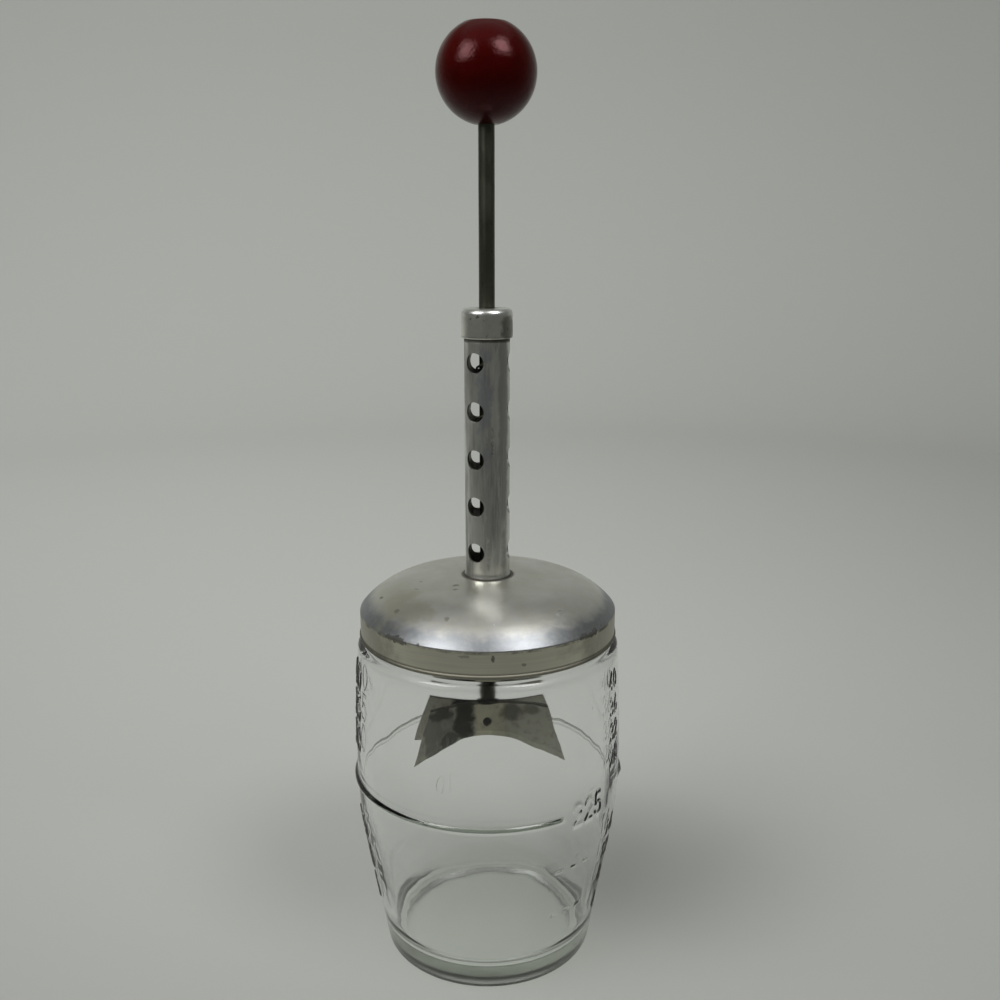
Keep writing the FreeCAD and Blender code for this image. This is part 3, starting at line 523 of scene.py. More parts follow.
def mark_columns(marks, radius):
    """The azimuths of the glass's columns of points, in radians: close together under a mark, wider
    apart elsewhere, with soft changes between."""
    coarse, fine = 3.0, 0.5
    margin, ease = 0.8, 3
    azimuth = np.linspace(-180, 180, 7201)
    near = np.zeros_like(azimuth)
    for text, middle, _, tall in marks:
        half = math.degrees(tall * FIGURE_PITCH * len(text) / 2 / radius) + margin
        away = np.abs((azimuth - middle + 180) % 360 - 180)
        near = np.maximum(near, 1 - soft_step(half, half + ease, away))
    spacing = coarse + (fine - coarse) * near
    steps = np.concatenate([[0], np.cumsum(np.diff(azimuth) / spacing[1:])])
    count = int(steps[-1])
    return np.radians(np.interp(np.arange(count) * steps[-1] / count, steps, azimuth))


def turn_from(azimuth, middle):
    """The turn from one azimuth to others, within half a turn either way."""
    return (azimuth - middle + math.pi) % (2 * math.pi) - math.pi


def jar_relief(jar, marks, azimuth, height):
    """How far the marks and the ring stand out of the wall at grids of azimuths and heights: a stroke
    is a rounded ridge, highest along its middle, and the ring is a low arch that runs out at its ends."""
    wide, high = 0.6, 0.75  # how far round its middle a figure is looked for, as shares of its height
    relief = np.zeros_like(height)
    for text, middle, level, tall in marks:
        for place, figure in enumerate(text):
            shift = (place - (len(text) - 1) / 2) * tall * FIGURE_PITCH
            across = turn_from(azimuth, math.radians(middle)) * jar.belly_radius - shift
            up = height - level
            near = (np.abs(across) < tall * wide) & (np.abs(up) < tall * high)
            pieces = figure_strokes(figure)
            pieces[:, 0::2] = (pieces[:, 0::2] - 0.5) * FIGURE_WIDTH * 2 * tall
            pieces[:, 1::2] = (pieces[:, 1::2] - 1) * tall / 2
            away = stroke_distance(across[near], up[near], pieces)
            crest = jar.mark_relief * tall / FIGURE_SIZE
            ridge = crest * np.sqrt(np.clip(1 - (away / jar.mark_stroke) ** 2, 0, 1))
            relief[near] = np.maximum(relief[near], ridge)
    half_gap, run_out, fullness = jar.ring_gap_sweep / 2, 0.05, 0.65
    ends = soft_step(half_gap, half_gap + run_out, np.abs(turn_from(azimuth, jar.ring_gap)))
    arch = 1 - ((height - jar.ring_height) / (jar.ring_width / 2)) ** 2
    return np.maximum(relief, jar.ring_relief * np.clip(arch, 0, 1) ** fullness * ends)


def row_gaps(jar, marks, points):
    """The gap between rows of points along the glass's outline: close under marks, at the ring, the rim
    and the heel, and wider elsewhere."""
    mark_reach, ring_reach = 0.58, 1.6 * MM
    neck, heel, heel_inside = JAR_HIGH.z - 15 * MM, 9.5 * MM, 28 * MM
    across, up = points.T
    outer = np.arange(len(up)) < np.argmax(up)
    gap = np.where(outer, OUTSIDE_GAP, INSIDE_GAP)
    for _, _, height, tall in marks:
        gap = np.where(outer & (np.abs(up - height) < tall * mark_reach), MARK_GAP, gap)
    gap = np.where(up > neck, RIM_GAP, gap)
    gap = np.where((up < heel) & (across > heel_inside), FOOT_GAP, gap)
    gap = np.where(outer & (np.abs(up - jar.ring_height) < ring_reach), RING_GAP, gap)
    return gap * MM


def build_jar(jar):
    """The glass: an outline turned about the upright axis, with relief added along the wall's normal,
    and a slow waviness on the inside, as in pressed glass."""
    outside = outer_outline(jar)
    inside = inner_outline(jar)
    punt_radius = jar.foot_radius - jar.foot_ring
    slope, overlap, hollow, edge = 3.5 * MM, 0.4 * MM, 8 * MM, 1 * MM
    punt = [(0, jar.punt_depth, 0), (punt_radius - slope, jar.punt_depth, hollow),
            (punt_radius + overlap, 0, edge)]
    marks = jar_marks(jar, rounded_outline([outside[-1], *inside]))
    path = rounded_outline(punt + outside + inside)
    profile = marked_off(path, functools.partial(row_gaps, jar, marks))
    columns = mark_columns(marks, jar.belly_radius)
    radius, height = profile[1:-1].T
    azimuth = np.broadcast_to(columns, (len(radius), len(columns)))
    up = np.broadcast_to(height[:, None], azimuth.shape)
    row = np.arange(len(radius))[:, None]
    top = np.argmax(height)
    heel, lid_room, neck = 6 * MM, 12 * MM, 20 * MM  # where the relief ends below and above, and the wave
    outer = (row < top) & (up > heel) & (up < JAR_HIGH.z - lid_room)
    relief = np.where(outer, jar_relief(jar, marks, azimuth, up), 0)
    wave = sum(size * np.sin(turns * azimuth + rise * up + start) for size, turns, rise, start in WAVES)
    wave = wave * MM * soft_step(8 * MM, 20 * MM, up)
    inner = (row > top) & (up < JAR_HIGH.z - neck)
    across = radius[:, None] + relief + np.where(inner, wave, 0)
    rings = np.stack([across * np.sin(azimuth), -across * np.cos(azimuth), up], axis=-1)
    points, faces = closed_skin(rings, (0, 0, profile[0][1]), (0, 0, profile[-1][1]))
    return mesh_object("jar_glass", points, faces)


# Return spring

def build_spring(spring):
    """The wire: a circle carried along a coil. The coil's pitch is close at both ends and grows to an
    open one between them, and the heights are the pitch added up, stretched to fit its seats."""
    per_turn, around = 40, 12
    ease_turns = 0.75
    turns = np.linspace(0, spring.turns, int(spring.turns * per_turn) + 1)
    nearer = np.minimum(turns, spring.turns - turns)
    ease = np.clip((nearer - spring.end_turns) / ease_turns, 0, 1)
    close = 2 * spring.wire_radius + spring.end_gap
    step = spring.turns / (len(turns) - 1)
    eased = np.concatenate([[0], np.cumsum((ease[1:] + ease[:-1]) / 2 * step)])
    low = SPRING_LOW.z + spring.wire_radius
    rise = SPRING_HIGH.z - spring.wire_radius - low
    height = low + close * turns + (rise - close * spring.turns) * eased / eased[-1]
    turn = 2 * np.pi * turns
    outward = np.column_stack([np.cos(turn), np.sin(turn), np.zeros_like(turns)])
    middle = spring.coil_radius * outward
    middle[:, 2] = height
    way = np.gradient(middle, axis=0)
    way /= np.linalg.norm(way, axis=1)[:, None]
    upward = np.cross(way, outward)
    section = np.linspace(0, 2 * np.pi, around, endpoint=False)[None, :, None]
    rings = middle[:, None] + spring.wire_radius * (
        np.cos(section) * outward[:, None] - np.sin(section) * upward[:, None])
    points, faces = closed_skin(rings, middle[0], middle[-1])
    return mesh_object("coil_spring", points, faces)


# Shared effects

def new_group(name, defaults, build):
    """A shader group with a socket for each input and one for its mask, which a function builds."""
    group = bpy.data.node_groups.new(name, "ShaderNodeTree")
    for label, value in defaults.items():
        kind = "NodeSocketFloat" if isinstance(value, float) else "NodeSocketVector"
        group.interface.new_socket(label, in_out="INPUT", socket_type=kind).default_value = value
    group.interface.new_socket("Mask", in_out="OUTPUT", socket_type="NodeSocketFloat")
    given = group.nodes.new("NodeGroupInput").outputs
    put(group, "NodeGroupOutput", {"Mask": build(*(Value(given[label]) for label in defaults))})
    return group


def as_group(name, **defaults):
    """Turn a function that builds a mask from a place and some values into one that places the mask as
    a shader group with named inputs. The group is made once, on its first use."""
    defaults = {"Vector": (0, 0, 0), **defaults}

    def wrap(build):
        @functools.wraps(build)
        def placed(*values):
            group = bpy.data.node_groups.get(name) or new_group(name, defaults, build)
            return result(values[0].tree, "ShaderNodeGroup", dict(zip(defaults, values)), node_tree=group)
        return placed
    return wrap


@as_group("Blotches", Scale=100.0, Low=0.45, High=0.6)
def blotches(place, scale, low, high):
    """Soft-edged patches where a noise is high."""
    return spread(noise(place, scale, detail=5.0, roughness=0.62), low, high)


@as_group("Specks", Scale=400.0, Size=0.2, Share=0.2)
def specks(place, scale, size, share):
    """Small soft spots with uneven outlines, in some of a Voronoi pattern's cells."""
    inputs = {"Vector": place, "Scale": scale, "Detail": 2.0}
    wobble = result(place.tree, "ShaderNodeTexNoise", inputs, "Color") - (0.5, 0.5, 0.5)
    cells = put(place.tree, "ShaderNodeTexVoronoi", {"Vector": place * scale + wobble, "Scale": 1.0}).outputs
    lot = result(place.tree, "ShaderNodeSeparateColor", {"Color": Value(cells["Color"])})
    spot = falling(Value(cells["Distance"]) / size, 0.5, 1.0)
    return lot.maths("LESS_THAN", share) * spot


@as_group("Patch", Middle=(0, 0, 0), Reach=(1, 1, 1), Ragged=0.6, Fineness=300.0)
def stain(place, middle, reach, ragged, fineness):
    """One soft stain about a middle, as far out as its reach along X, Y and Z, with a ragged edge: the
    distance in reaches is roughened by a noise."""
    away = ((place - middle) / reach).maths("LENGTH", output="Value")
    rough = (noise(place, fineness, detail=4.0) - 0.5) * ragged * 3.0
    return falling(away + rough, 0.55, 1.1)


@as_group("Ring", Radius=0.04, Width=0.001)
def ring(place, radius, width):
    """A soft band round the upright axis at a radius."""
    away = (from_axis(place) - radius) / width
    return (away * away * -1.0).maths("EXPONENT")


def marks_on(place, rows, ragged, fineness):
    """The highest mask of several marks, each one (middle, reach, strength) with its middle and reach in
    millimetres."""
    masks = [stain(place, tuple(part * MM for part in middle), tuple(part * MM for part in reach),
                   ragged, fineness) * strength for middle, reach, strength in rows]
    return functools.reduce(Value.__or__, masks)


def mark(place, name):
    """The mask of a named mark."""
    return marks_on(place, [MARKS[name][:3]], *MARKS[name][3:])


# Materials

LID_CREASE = 8.4 * MM  # height of the crease between skirt and dome over the lid's lower edge
BLADE_TURN = math.radians(5.0)  # of the blades' middle flat about the rod

# Single marks: middle and reach in millimetres, strength, raggedness of the edge and its fineness
MARKS = {
    "skirt_right": ((38, -12, 110.5), (20, 28, 9), 0.66, 0.4, 120.0),
    "skirt_left": ((-39, -12, 110.5), (19, 26, 9), 0.66, 0.4, 120.0),
    "yellowed": ((-24, -20, 119.5), (12, 12, 5), 0.55, 0.8, 140.0),
    "tube_reflection": ((0.6, -20, 123.5), (4.6, 13, 5), 0.75, 0.6, 150.0),
    "left_scuff": ((-26, -31, 114.8), (7, 6, 1.0), 0.75, 1.2, 420.0),
    "right_scuff": ((31, -26, 114.8), (5, 6, 0.9), 0.8, 1.2, 420.0),
    "spot": ((1.9, -40.2, 112.9), (0.7, 1.0, 1.1), 0.85, 0.5, 700.0),
    "smear": ((-6.3, -39.8, 113.4), (1.6, 1.0, 0.5), 0.4, 0.8, 700.0),
    "tube_right": ((5.2, -5.0, 172), (2.2, 3.4, 60), 0.8, 0.5, 120.0),
    "tube_left": ((0.6, -6.9, 150), (1.2, 2.0, 24), 0.55, 1.0, 240.0),
    "tube_cool": ((-0.9, -6.8, 182), (2.6, 2.5, 21), 0.85, 1.0, 220.0),
    "tube_scuff": ((1.6, -6.7, 168.5), (0.45, 1.5, 4.5), 0.7, 1.6, 900.0),
    "cap_shade": ((6.5, -4.0, 202.5), (3.5, 5.0, 5.0), 0.85, 0.5, 300.0),
    "cap_front": ((-2.8, -7.0, 205.4), (3.4, 2.6, 2.2), 1.0, 0.5, 500.0),
    "cap_pit": ((-2.7, -7.2, 205.9), (0.9, 1.2, 0.55), 0.95, 1.2, 900.0),
}

# Like marks that come together: middle, reach and strength
LID_NICKS = (((2.2, -33.5, 120.6), (0.35, 0.6, 1.0), 1.0), ((21.0, -25.3, 121.0), (0.9, 0.9, 0.7), 1.0))
LID_FLECKS = (((-26.8, -20.9, 120.3), (1.1, 1.1, 0.8), 0.55), ((-11.5, -30.3, 121.2), (1.1, 1.1, 0.8), 0.55))

# Stains of the front blade. The first lies beside the middle flat, the next darken the left wing, and
# the last ones are cloudy patches on the right wing.
BLADE_STAINS = (
    ((-8.4, -1.5, 76.5), (4.2, 5.0, 15.0), 1.0),
    ((-17.0, -6.0, 75.5), (11.0, 8.0, 12.0), 0.5),
    ((-15.5, -6.0, 80.0), (6.6, 6.0, 3.6), 0.85),
    ((-13.0, -4.0, 70.5), (5.0, 5.0, 3.8), 0.8),
    ((8.0, -2.0, 79.6), (3.4, 4.0, 3.6), 0.6),
    ((12.5, -5.5, 81.0), (6.0, 4.0, 1.8), 0.5),
)
PALE_PATCHES = (
    ((-14.0, -4.5, 76.2), (2.1, 3.0, 2.6), 0.35),
    ((-21.5, -8.0, 70.0), (3.4, 3.0, 5.0), 0.35),
    ((13.2, -5.0, 73.8), (4.2, 3.0, 2.0), 0.6),
    ((22.5, -9.0, 68.0), (3.4, 3.5, 4.6), 0.5),
)

# Colours of wear, and of painted shade, highlights, sheen and reflections, besides those that a user sets
# Painted bluish sheen in patches above the lid's crease
BLUISH_SHEEN = (0.56, 0.60, 0.70)
SKIRT_SHADE = (0.22, 0.215, 0.18)
YELLOWED = (0.60, 0.575, 0.46)
# Painted reflection of the tube on the dome in front of it
TUBE_REFLECTION = (0.95, 0.945, 0.91)
GLINT = (0.95, 0.95, 0.93)
FLECK = (0.27, 0.26, 0.2)
BEAD_SHADE = (0.14, 0.135, 0.11)
TUBE_LINES = (0.62, 0.62, 0.6)
CAP_DULL = (0.55, 0.55, 0.5)
CAP_SHADE = (0.2, 0.2, 0.175)
# Painted highlight on the cap's top
CAP_TOP_HIGHLIGHT = (0.93, 0.935, 0.91)
STEEL_SPECKS = (0.05, 0.037, 0.025)
DARK_BELOW = (0.016, 0.013, 0.007)
BLADE_CLOUDS = (0.15, 0.14, 0.105)
BLADE_PALE = (0.40, 0.39, 0.35)
BLADE_SPOTS = (0.10, 0.085, 0.06)
BLADE_TICKS = (0.5, 0.5, 0.46)
PAINT_SPECKS = (0.02, 0.004, 0.003)
GLASS_CLEAR = (1, 1, 1)
# Painted shade: a dark line along the top of the raised ring
GLASS_RING_SHADE = (0.3, 0.34, 0.28)
GLASS_SHADOW = (0.985, 0.99, 0.985)
SPECULAR_TINT = (1.0, 0.45, 0.47)


def new_material(name):
    """An empty node material with its Principled BSDF and its Object coordinates."""
    material = bpy.data.materials.new(name)
    material.use_nodes = True
    tree = material.node_tree
    tree.nodes.clear()
    surface = put(tree, "ShaderNodeBsdfPrincipled", {})
    put(tree, "ShaderNodeOutputMaterial", {"Surface": Value(surface.outputs["BSDF"])})
    return material, surface, result(tree, "ShaderNodeTexCoord", {}, "Object")


def dress(surface, base, metal, roughness, normal):
    """Feed the inputs that every finish but glass sets."""
    feed(surface, {"Base Color": base, "Metallic": metal, "Roughness": roughness, "Normal": normal})


def metal_under(dirt_and_shade):
    """How metallic a surface is under soiling and painted shade: the metal shows until they lie thick."""
    return spread(dirt_and_shade, 0.6, 1.0, 1.0, 0.3)


def lid_aluminium(finish):
    """Satin pressed aluminium: a blotchy yellowish film that thins out towards the crease, a worn band
    above the crease whose dark bluish tone paints a dim reflection, a painted bluish sheen, a painted
    reflection of the tube, soft specks and bright nicks, and old soiling with painted shade under the
    crease, round the tube's foot and at the hem. The skirt is duller than the dome, with painted
    shade on its sides and on its bead."""
    material, surface, place = new_material("lid_aluminium")
    height = part_of(place, "Z")
    crease = LID_LOW.z + LID_CREASE
    skirt = below(height, crease, -0.5, 0.2)
    over_crease = below(height, crease, 3.0, 7.0)
    # Worn aluminium above the crease; its dark bluish colour, the lid edge, also paints the dim reflection
    # there
    worn_and_dim_reflection = below(height + noise(place, 260.0, detail=5.0) * (2.4 * MM), crease, 3.2, 6.4)
    film = blotches(place, 26.0, 0.34, 0.66) * 0.8 | blotches(place, 90.0, 0.4, 0.75) * 0.45
    film = film * (1 - worn_and_dim_reflection * 0.8)
    drawn = spread(noise(stretched(place, (70.0, 70.0, 1500.0)), 1.0), 0.3, 0.7, 0.85, 1.0)
    shaded = (mark(place, "skirt_right") | mark(place, "skirt_left")) * skirt
    glints = specks(place, 130.0, 0.13, 0.035) | marks_on(place, LID_NICKS, 0.5, 900.0)
    mottle = blotches(place, 700.0, 0.42, 0.7)
    # Dark lines of soiling with painted shade: under the crease, in the crevice round the tube's foot, and
    # above the bead
    under_crease = band(height, crease, -0.45, 0.15, 0.5) * blotches(place, 150.0, 0.4, 0.62)
    round_tube = ring(place, TUBE_FOOT + 0.2 * MM, 0.55 * MM) * above(height, LID_HIGH.z, -1.6, -1.0)
    hem = band(height, LID_LOW.z, 1.0, 0.35, 0.6)
    bead = below(height, LID_LOW.z, 0.5, 1.0)
    dark_specks = specks(place, 240.0, 0.2, 0.06) | specks(place, 95.0, 0.11, 0.12)
    dirt_and_shade = (mark(place, "spot") | mark(place, "smear") | dark_specks * 0.5 | round_tube * 0.95
            | hem * 0.5 | under_crease * 0.6 | mark(place, "left_scuff") | mark(place, "right_scuff"))
    base = layered(
        finish.lid,
        (film, finish.lid_film),
        (worn_and_dim_reflection, finish.lid_edge),
        # A painted bluish sheen in patches above the crease
        (blotches(place, 60.0, 0.5, 0.7) * over_crease * 0.2, BLUISH_SHEEN),
        (skirt * drawn, finish.skirt),
        (shaded, SKIRT_SHADE),
        (mark(place, "yellowed") * (1 - skirt), YELLOWED),
        # A painted reflection of the tube: a pale streak on the dome in front of it
        (mark(place, "tube_reflection"), TUBE_REFLECTION),
        (glints * 0.8, GLINT),
        (mottle * 0.16, finish.skirt),
        (marks_on(place, LID_FLECKS, 0.6, 700.0), FLECK),
        (bead * 0.4, BEAD_SHADE),
        (dirt_and_shade, finish.grime))
    rough = 0.34 + film * 0.07 + dirt_and_shade * 0.4 + mottle * 0.05 + worn_and_dim_reflection * 0.05
    normal = bumped((noise(place, 30.0, detail=2.0), 0.5), (noise(place, 1800.0), 0.02),
                    (glints - dark_specks * 0.8, 0.03))
    dress(surface, base, metal_under(dirt_and_shade), rough, normal)
    return material


def tube_aluminium(finish):
    """Drawn aluminium: lengthwise patches, dark and bluish, with ragged edges, a few jagged scuffs,
    specks, and a dark line of soiling and painted shade under the cap and at the foot."""
    material, surface, place = new_material("tube_aluminium")
    height = part_of(place, "Z")
    broad = noise(stretched(place, (190.0, 190.0, 22.0)), 1.0, detail=5.0, roughness=0.65)
    fine = noise(stretched(place, (1500.0, 1500.0, 50.0)), 1.0)
    dark = spread(broad, 0.43, 0.66) * 0.85 | mark(place, "tube_right") | mark(place, "tube_left")
    cool = mark(place, "tube_cool") | blotches(place, 75.0, 0.5, 0.68) * 0.5
    # Dark lines of soiling with painted shade, under the cap's edge and in the crevice at the tube's foot
    cap_line = band(height, CAP_LOW.z, -0.3, 0.35, 0.7)
    foot_line = below(height, LID_HIGH.z, 0.25, 0.9)
    dirt_and_shade = specks(place, 420.0, 0.2, 0.07) * 0.65 | mark(place, "tube_scuff") | cap_line * 0.85 | foot_line
    base = layered(
        finish.tube,
        (cool, finish.tube_cool),
        (dark, finish.tube_dark),
        (spread(fine, 0.5, 0.72) * 0.3, TUBE_LINES),
        (dirt_and_shade, finish.grime))
    rough = 0.33 + dark * 0.12 + dirt_and_shade * 0.35
    normal = bumped((fine, 0.015), (noise(place, 140.0), 0.14), (dirt_and_shade, -0.03))
    dress(surface, base, metal_under(dirt_and_shade), rough, normal)
    return material


def cap_aluminium(finish):
    """Pressed aluminium: brighter than the tube, with a painted highlight on its top, painted shade on its
    right side, a cluster of dark pits on its front edge, soft dull patches, and soiling with painted
    shade round the rod and at the lower edge."""
    material, surface, place = new_material("cap_aluminium")
    height = part_of(place, "Z")
    dull = blotches(place, 160.0, 0.42, 0.7) * 0.7
    # A painted highlight: the top of the cap is made brighter
    top = above(height, CAP_HIGH.z, -2.6, -1.2)
    pits = specks(place, 620.0, 0.34, 0.6) * mark(place, "cap_front") | specks(place, 480.0, 0.24, 0.12)
    # Dark lines of soiling with painted shade, at the lower edge and round the rod
    hem = band(height, CAP_LOW.z, 0.35, 0.1, 0.5)
    round_rod = ring(place, ROD_SIDE + 0.3 * MM, 0.7 * MM) * above(height, CAP_HIGH.z, -0.6, -0.2)
    dirt_and_shade = pits * 0.85 | mark(place, "cap_pit") | hem * 0.35 | round_rod * 0.8
    base = layered(
        finish.cap,
        (dull, CAP_DULL),
        (mark(place, "cap_shade"), CAP_SHADE),
        (top * 0.85, CAP_TOP_HIGHLIGHT),
        (dirt_and_shade, finish.grime))
    normal = bumped((noise(place, 210.0), 0.16), (pits, -0.05))
    dress(surface, base, metal_under(dirt_and_shade), 0.3 + dull * 0.14, normal)
    return material


def dull_steel(name, rgb, rough, stained, brushed=26.0, darkened_below=0.0):
    """Dull steel: fine lines along it, cloudy dark stains and specks. Brushed is how closely the lines
    follow each other lengthwise, so a high value gives grain instead of lines. Below a height the
    steel is nearly black."""
    material, surface, place = new_material(name)
    grain = noise(stretched(place, (1500.0, 1500.0, brushed)), 1.0)
    film = blotches(place, 150.0, 0.42, 0.66)
    spots = specks(place, 700.0, 0.25, 0.1)
    # Below a height the steel turns nearly black
    darkened = spread(part_of(place, "Z"), darkened_below - 1 * MM, darkened_below + 1 * MM, 0.92, 0.0)
    dark = [part * 0.45 for part in rgb]
    light = [part * 1.5 + 0.03 for part in rgb]
    base = layered(
        rgb,
        (film * stained, dark),
        (spots * 0.6, STEEL_SPECKS),
        (spread(grain, 0.5, 0.75, 0.0, 0.4), light),
        (darkened, DARK_BELOW))
    normal = bumped((grain, 0.012), (spots, -0.03))
    dress(surface, base, 1.0, rough + (film | darkened) * 0.15, normal)
    return material


def blade_steel(finish):
    """Stained sheet steel: a beige film with fine upright ticks on the middle flat, dark and pale
    patches on the wings, and a thin dark line along the edges, soiling with painted shade. The flat
    is turned with the blade."""
    material, surface, place = new_material("blade_steel")
    height = part_of(place, "Z")
    local = result(place.tree, "ShaderNodeMapping", {"Vector": place, "Rotation": (0, 0, -BLADE_TURN)})
    flat = below(part_of(local, "X").maths("ABSOLUTE"), 0, 4.8, 5.8)
    stained = marks_on(place, BLADE_STAINS, 0.65, 170.0)
    lines = noise(stretched(local, (1900.0, 1900.0, 90.0)), 1.0, detail=2.0)
    ticks = spread(lines, 0.52, 0.7) * below(height, BLADE_LOW.z, 6.5, 8.5)
    # A dark line along the top edges: soiling with painted shade
    top_line = above(height + noise(place, 500.0) * (0.8 * MM), BLADE_HIGH.z, -0.45, 0.05)
    base = layered(
        finish.blade,
        (flat, finish.blade_flat),
        (blotches(place, 120.0, 0.42, 0.68) * 0.35, BLADE_CLOUDS),
        (stained, finish.blade_stain),
        (marks_on(place, PALE_PATCHES, 0.55, 220.0), BLADE_PALE),
        (blotches(place, 420.0, 0.5, 0.68) * 0.3, BLADE_SPOTS),
        (ticks * 0.4, BLADE_TICKS),
        (top_line * 0.9, finish.grime))
    normal = bumped((lines, 0.015), (noise(place, 150.0), 0.2))
    dress(surface, base, 0.85, 0.42 + stained * 0.2, normal)
    return material


def rivet_steel(finish):
    """The rivet's head: the same beige film as the flat round it, with a dark dimple in its middle."""
    material, surface, place = new_material("rivet_steel")
    low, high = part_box("blade_rivet")
    middle = (-0.6, low.y / MM, (low.z + high.z) / 2 / MM + 0.2)
    dimple = marks_on(place, [(middle, (1.9, 1.9, 2.5), 1.0)], 0.45, 500.0)
    base = layered(
        finish.blade_flat,
        (blotches(place, 420.0, 0.45, 0.65) * 0.5, finish.blade),
        (dimple, finish.blade_stain))
    dress(surface, base, 0.85, 0.45 + dimple * 0.4, bumped((dimple, -0.2)))
    return material


def knob_enamel(finish):
    """Old enamel on turned wood: uneven in colour and shine, with an orange-peel skin and soft specks."""
    material, surface, place = new_material("knob_enamel")
    clouds = blotches(place, 120.0, 0.35, 0.7)
    dark = [part * 0.55 for part in finish.paint]
    base = layered(
        finish.paint,
        (clouds * 0.5, dark),
        (specks(place, 700.0, 0.25, 0.1) * 0.4, PAINT_SPECKS))
    orange_peel = noise(place, 1300.0, detail=4.0, roughness=0.65)
    normal = bumped((orange_peel, 0.07), (noise(place, 240.0), 0.12))
    dress(surface, base, 0.0, 0.12 + clouds * 0.07, normal)
    feed(surface, {"IOR": 1.5, "Specular IOR Level": 0.27, "Specular Tint": SPECULAR_TINT})
    return material


def jar_glass(jar):
    """Clear pressed glass: faintly green where it is thick, with a wavy skin, a few seeds, a thin dried
    film in patches and a painted dark line along the top of the ring. Lamplight and light from what
    lies round it pass straight through."""
    material, surface, place = new_material("jar_glass")
    tree = material.node_tree
    height = part_of(place, "Z")
    film = blotches(place, 70.0, 0.5, 0.75)
    drops = specks(place, 170.0, 0.12, 0.1)
    shoulder = band(height, JAR_HIGH.z - jar.shoulder_drop, 0, 2.5, 3.0)
    thick = below(height, jar.floor, 0, 3.0)
    rough = film * 0.025 + drops * 0.1 + shoulder * 0.1 + thick * 0.16
    # A painted dark line along the top of the raised ring, where the glass bends light
    standing_out = above(from_axis(place), jar.belly_radius, 0, 0.5)
    ring_shade = standing_out * band(height, jar.ring_height, 0.5, 0.35, 0.3)
    normal = bumped((noise(place, 55.0, detail=2.0), 0.16), (drops, 0.02))
    feed(surface, {"Base Color": layered(GLASS_CLEAR, (ring_shade, GLASS_RING_SHADE)), "Roughness": rough,
                   "IOR": 1.5, "Transmission Weight": 1.0, "Normal": normal})
    path = put(tree, "ShaderNodeLightPath", {}).outputs
    passing = Value(path["Is Shadow Ray"]) | Value(path["Is Diffuse Ray"])
    clear = result(tree, "ShaderNodeBsdfTransparent", {"Color": GLASS_SHADOW})
    mixed = result(tree, "ShaderNodeMixShader", {0: passing, 1: Value(surface.outputs["BSDF"]), 2: clear})
    deep = result(tree, "ShaderNodeVolumeAbsorption", {"Color": jar.tint, "Density": jar.depth})
    output = next(node for node in tree.nodes if node.bl_idname == "ShaderNodeOutputMaterial")
    feed(output, {"Surface": mixed, "Volume": deep})
    return material


def stage_grey(studio):
    """The plain pale floor and backdrop."""
    material, surface, _ = new_material("stage_grey")
    feed(surface, {"Base Color": studio.floor, "Roughness": 0.9, "Specular IOR Level": 0.2})
    return material


def finish_piece(piece, material):
    """Give a piece one material."""
    piece.data.materials.clear()
    piece.data.materials.append(material)


def finish_nodes(material, *names):
    """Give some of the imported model's nodes one material."""
    for name in names:
        finish_piece(frame["nodes"][name], material)


# Operators

class NUTCHOPPER_OT_jar(bpy.types.Operator):
    """Build the glass jar with its ring, figures and dashes"""
    bl_idname = "nutchopper.jar"
    bl_label = "Build Jar"

    def execute(self, context):
        jar = context.scene.nutchopper_jar
        glass = build_jar(jar)
        finish_piece(glass, jar_glass(jar))
        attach(glass, "jar")
        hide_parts("glass_jar")
        return {"FINISHED"}


class NUTCHOPPER_OT_spring(bpy.types.Operator):
    """Build the return spring"""
    bl_idname = "nutchopper.spring"
    bl_label = "Build Spring"

    def execute(self, context):
        finish = context.scene.nutchopper_finish
        coil = build_spring(context.scene.nutchopper_spring)
        finish_piece(coil, dull_steel("spring_wire", finish.rod, rough=0.35, stained=0.3))
        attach(coil, "lid")
        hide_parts("return_spring")
        travel = next(joint for joint in frame["joints"] if joint["name"] == "plunger_press")["range_m"][1]
        long = SPRING_HIGH.z - SPRING_LOW.z
        (long - travel) / long
        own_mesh(coil)
        return {"FINISHED"}


class NUTCHOPPER_OT_lid(bpy.types.Operator):
    """Finish the lid"""
    bl_idname = "nutchopper.lid"
    bl_label = "Finish Lid"

    def execute(self, context):
        finish_nodes(lid_aluminium(context.scene.nutchopper_finish), "lid_shell")
        return {"FINISHED"}


class NUTCHOPPER_OT_tube(bpy.types.Operator):
    """Finish the spring tube and its cap"""
    bl_idname = "nutchopper.tube"
    bl_label = "Finish Tube"

    def execute(self, context):
        finish = context.scene.nutchopper_finish
        finish_nodes(tube_aluminium(finish), "spring_tube")
        finish_nodes(cap_aluminium(finish), "tube_cap")
        return {"FINISHED"}


class NUTCHOPPER_OT_plunger(bpy.types.Operator):
    """Finish the rod, its pin, its washers, its collar and the blades' rivet"""
    bl_idname = "nutchopper.plunger"
    bl_label = "Finish Plunger"

    def execute(self, context):
        finish = context.scene.nutchopper_finish
        rod = dull_steel("rod_steel", finish.rod, rough=0.34, stained=0.35, darkened_below=LID_HIGH.z)
        zinc = dull_steel("washer_zinc", finish.zinc, rough=0.38, stained=0.3, brushed=300.0)
        finish_nodes(rod, "plunger_rod", "blade_collar")
        finish_nodes(zinc, "lower_guide", "spring_washer", "stop_pin")
        finish_nodes(rivet_steel(finish), "blade_rivet")
        return {"FINISHED"}


class NUTCHOPPER_OT_knob(bpy.types.Operator):
    """Finish the knob"""
    bl_idname = "nutchopper.knob"
    bl_label = "Finish Knob"

    def execute(self, context):
        finish_nodes(knob_enamel(context.scene.nutchopper_finish), "knob")
        return {"FINISHED"}


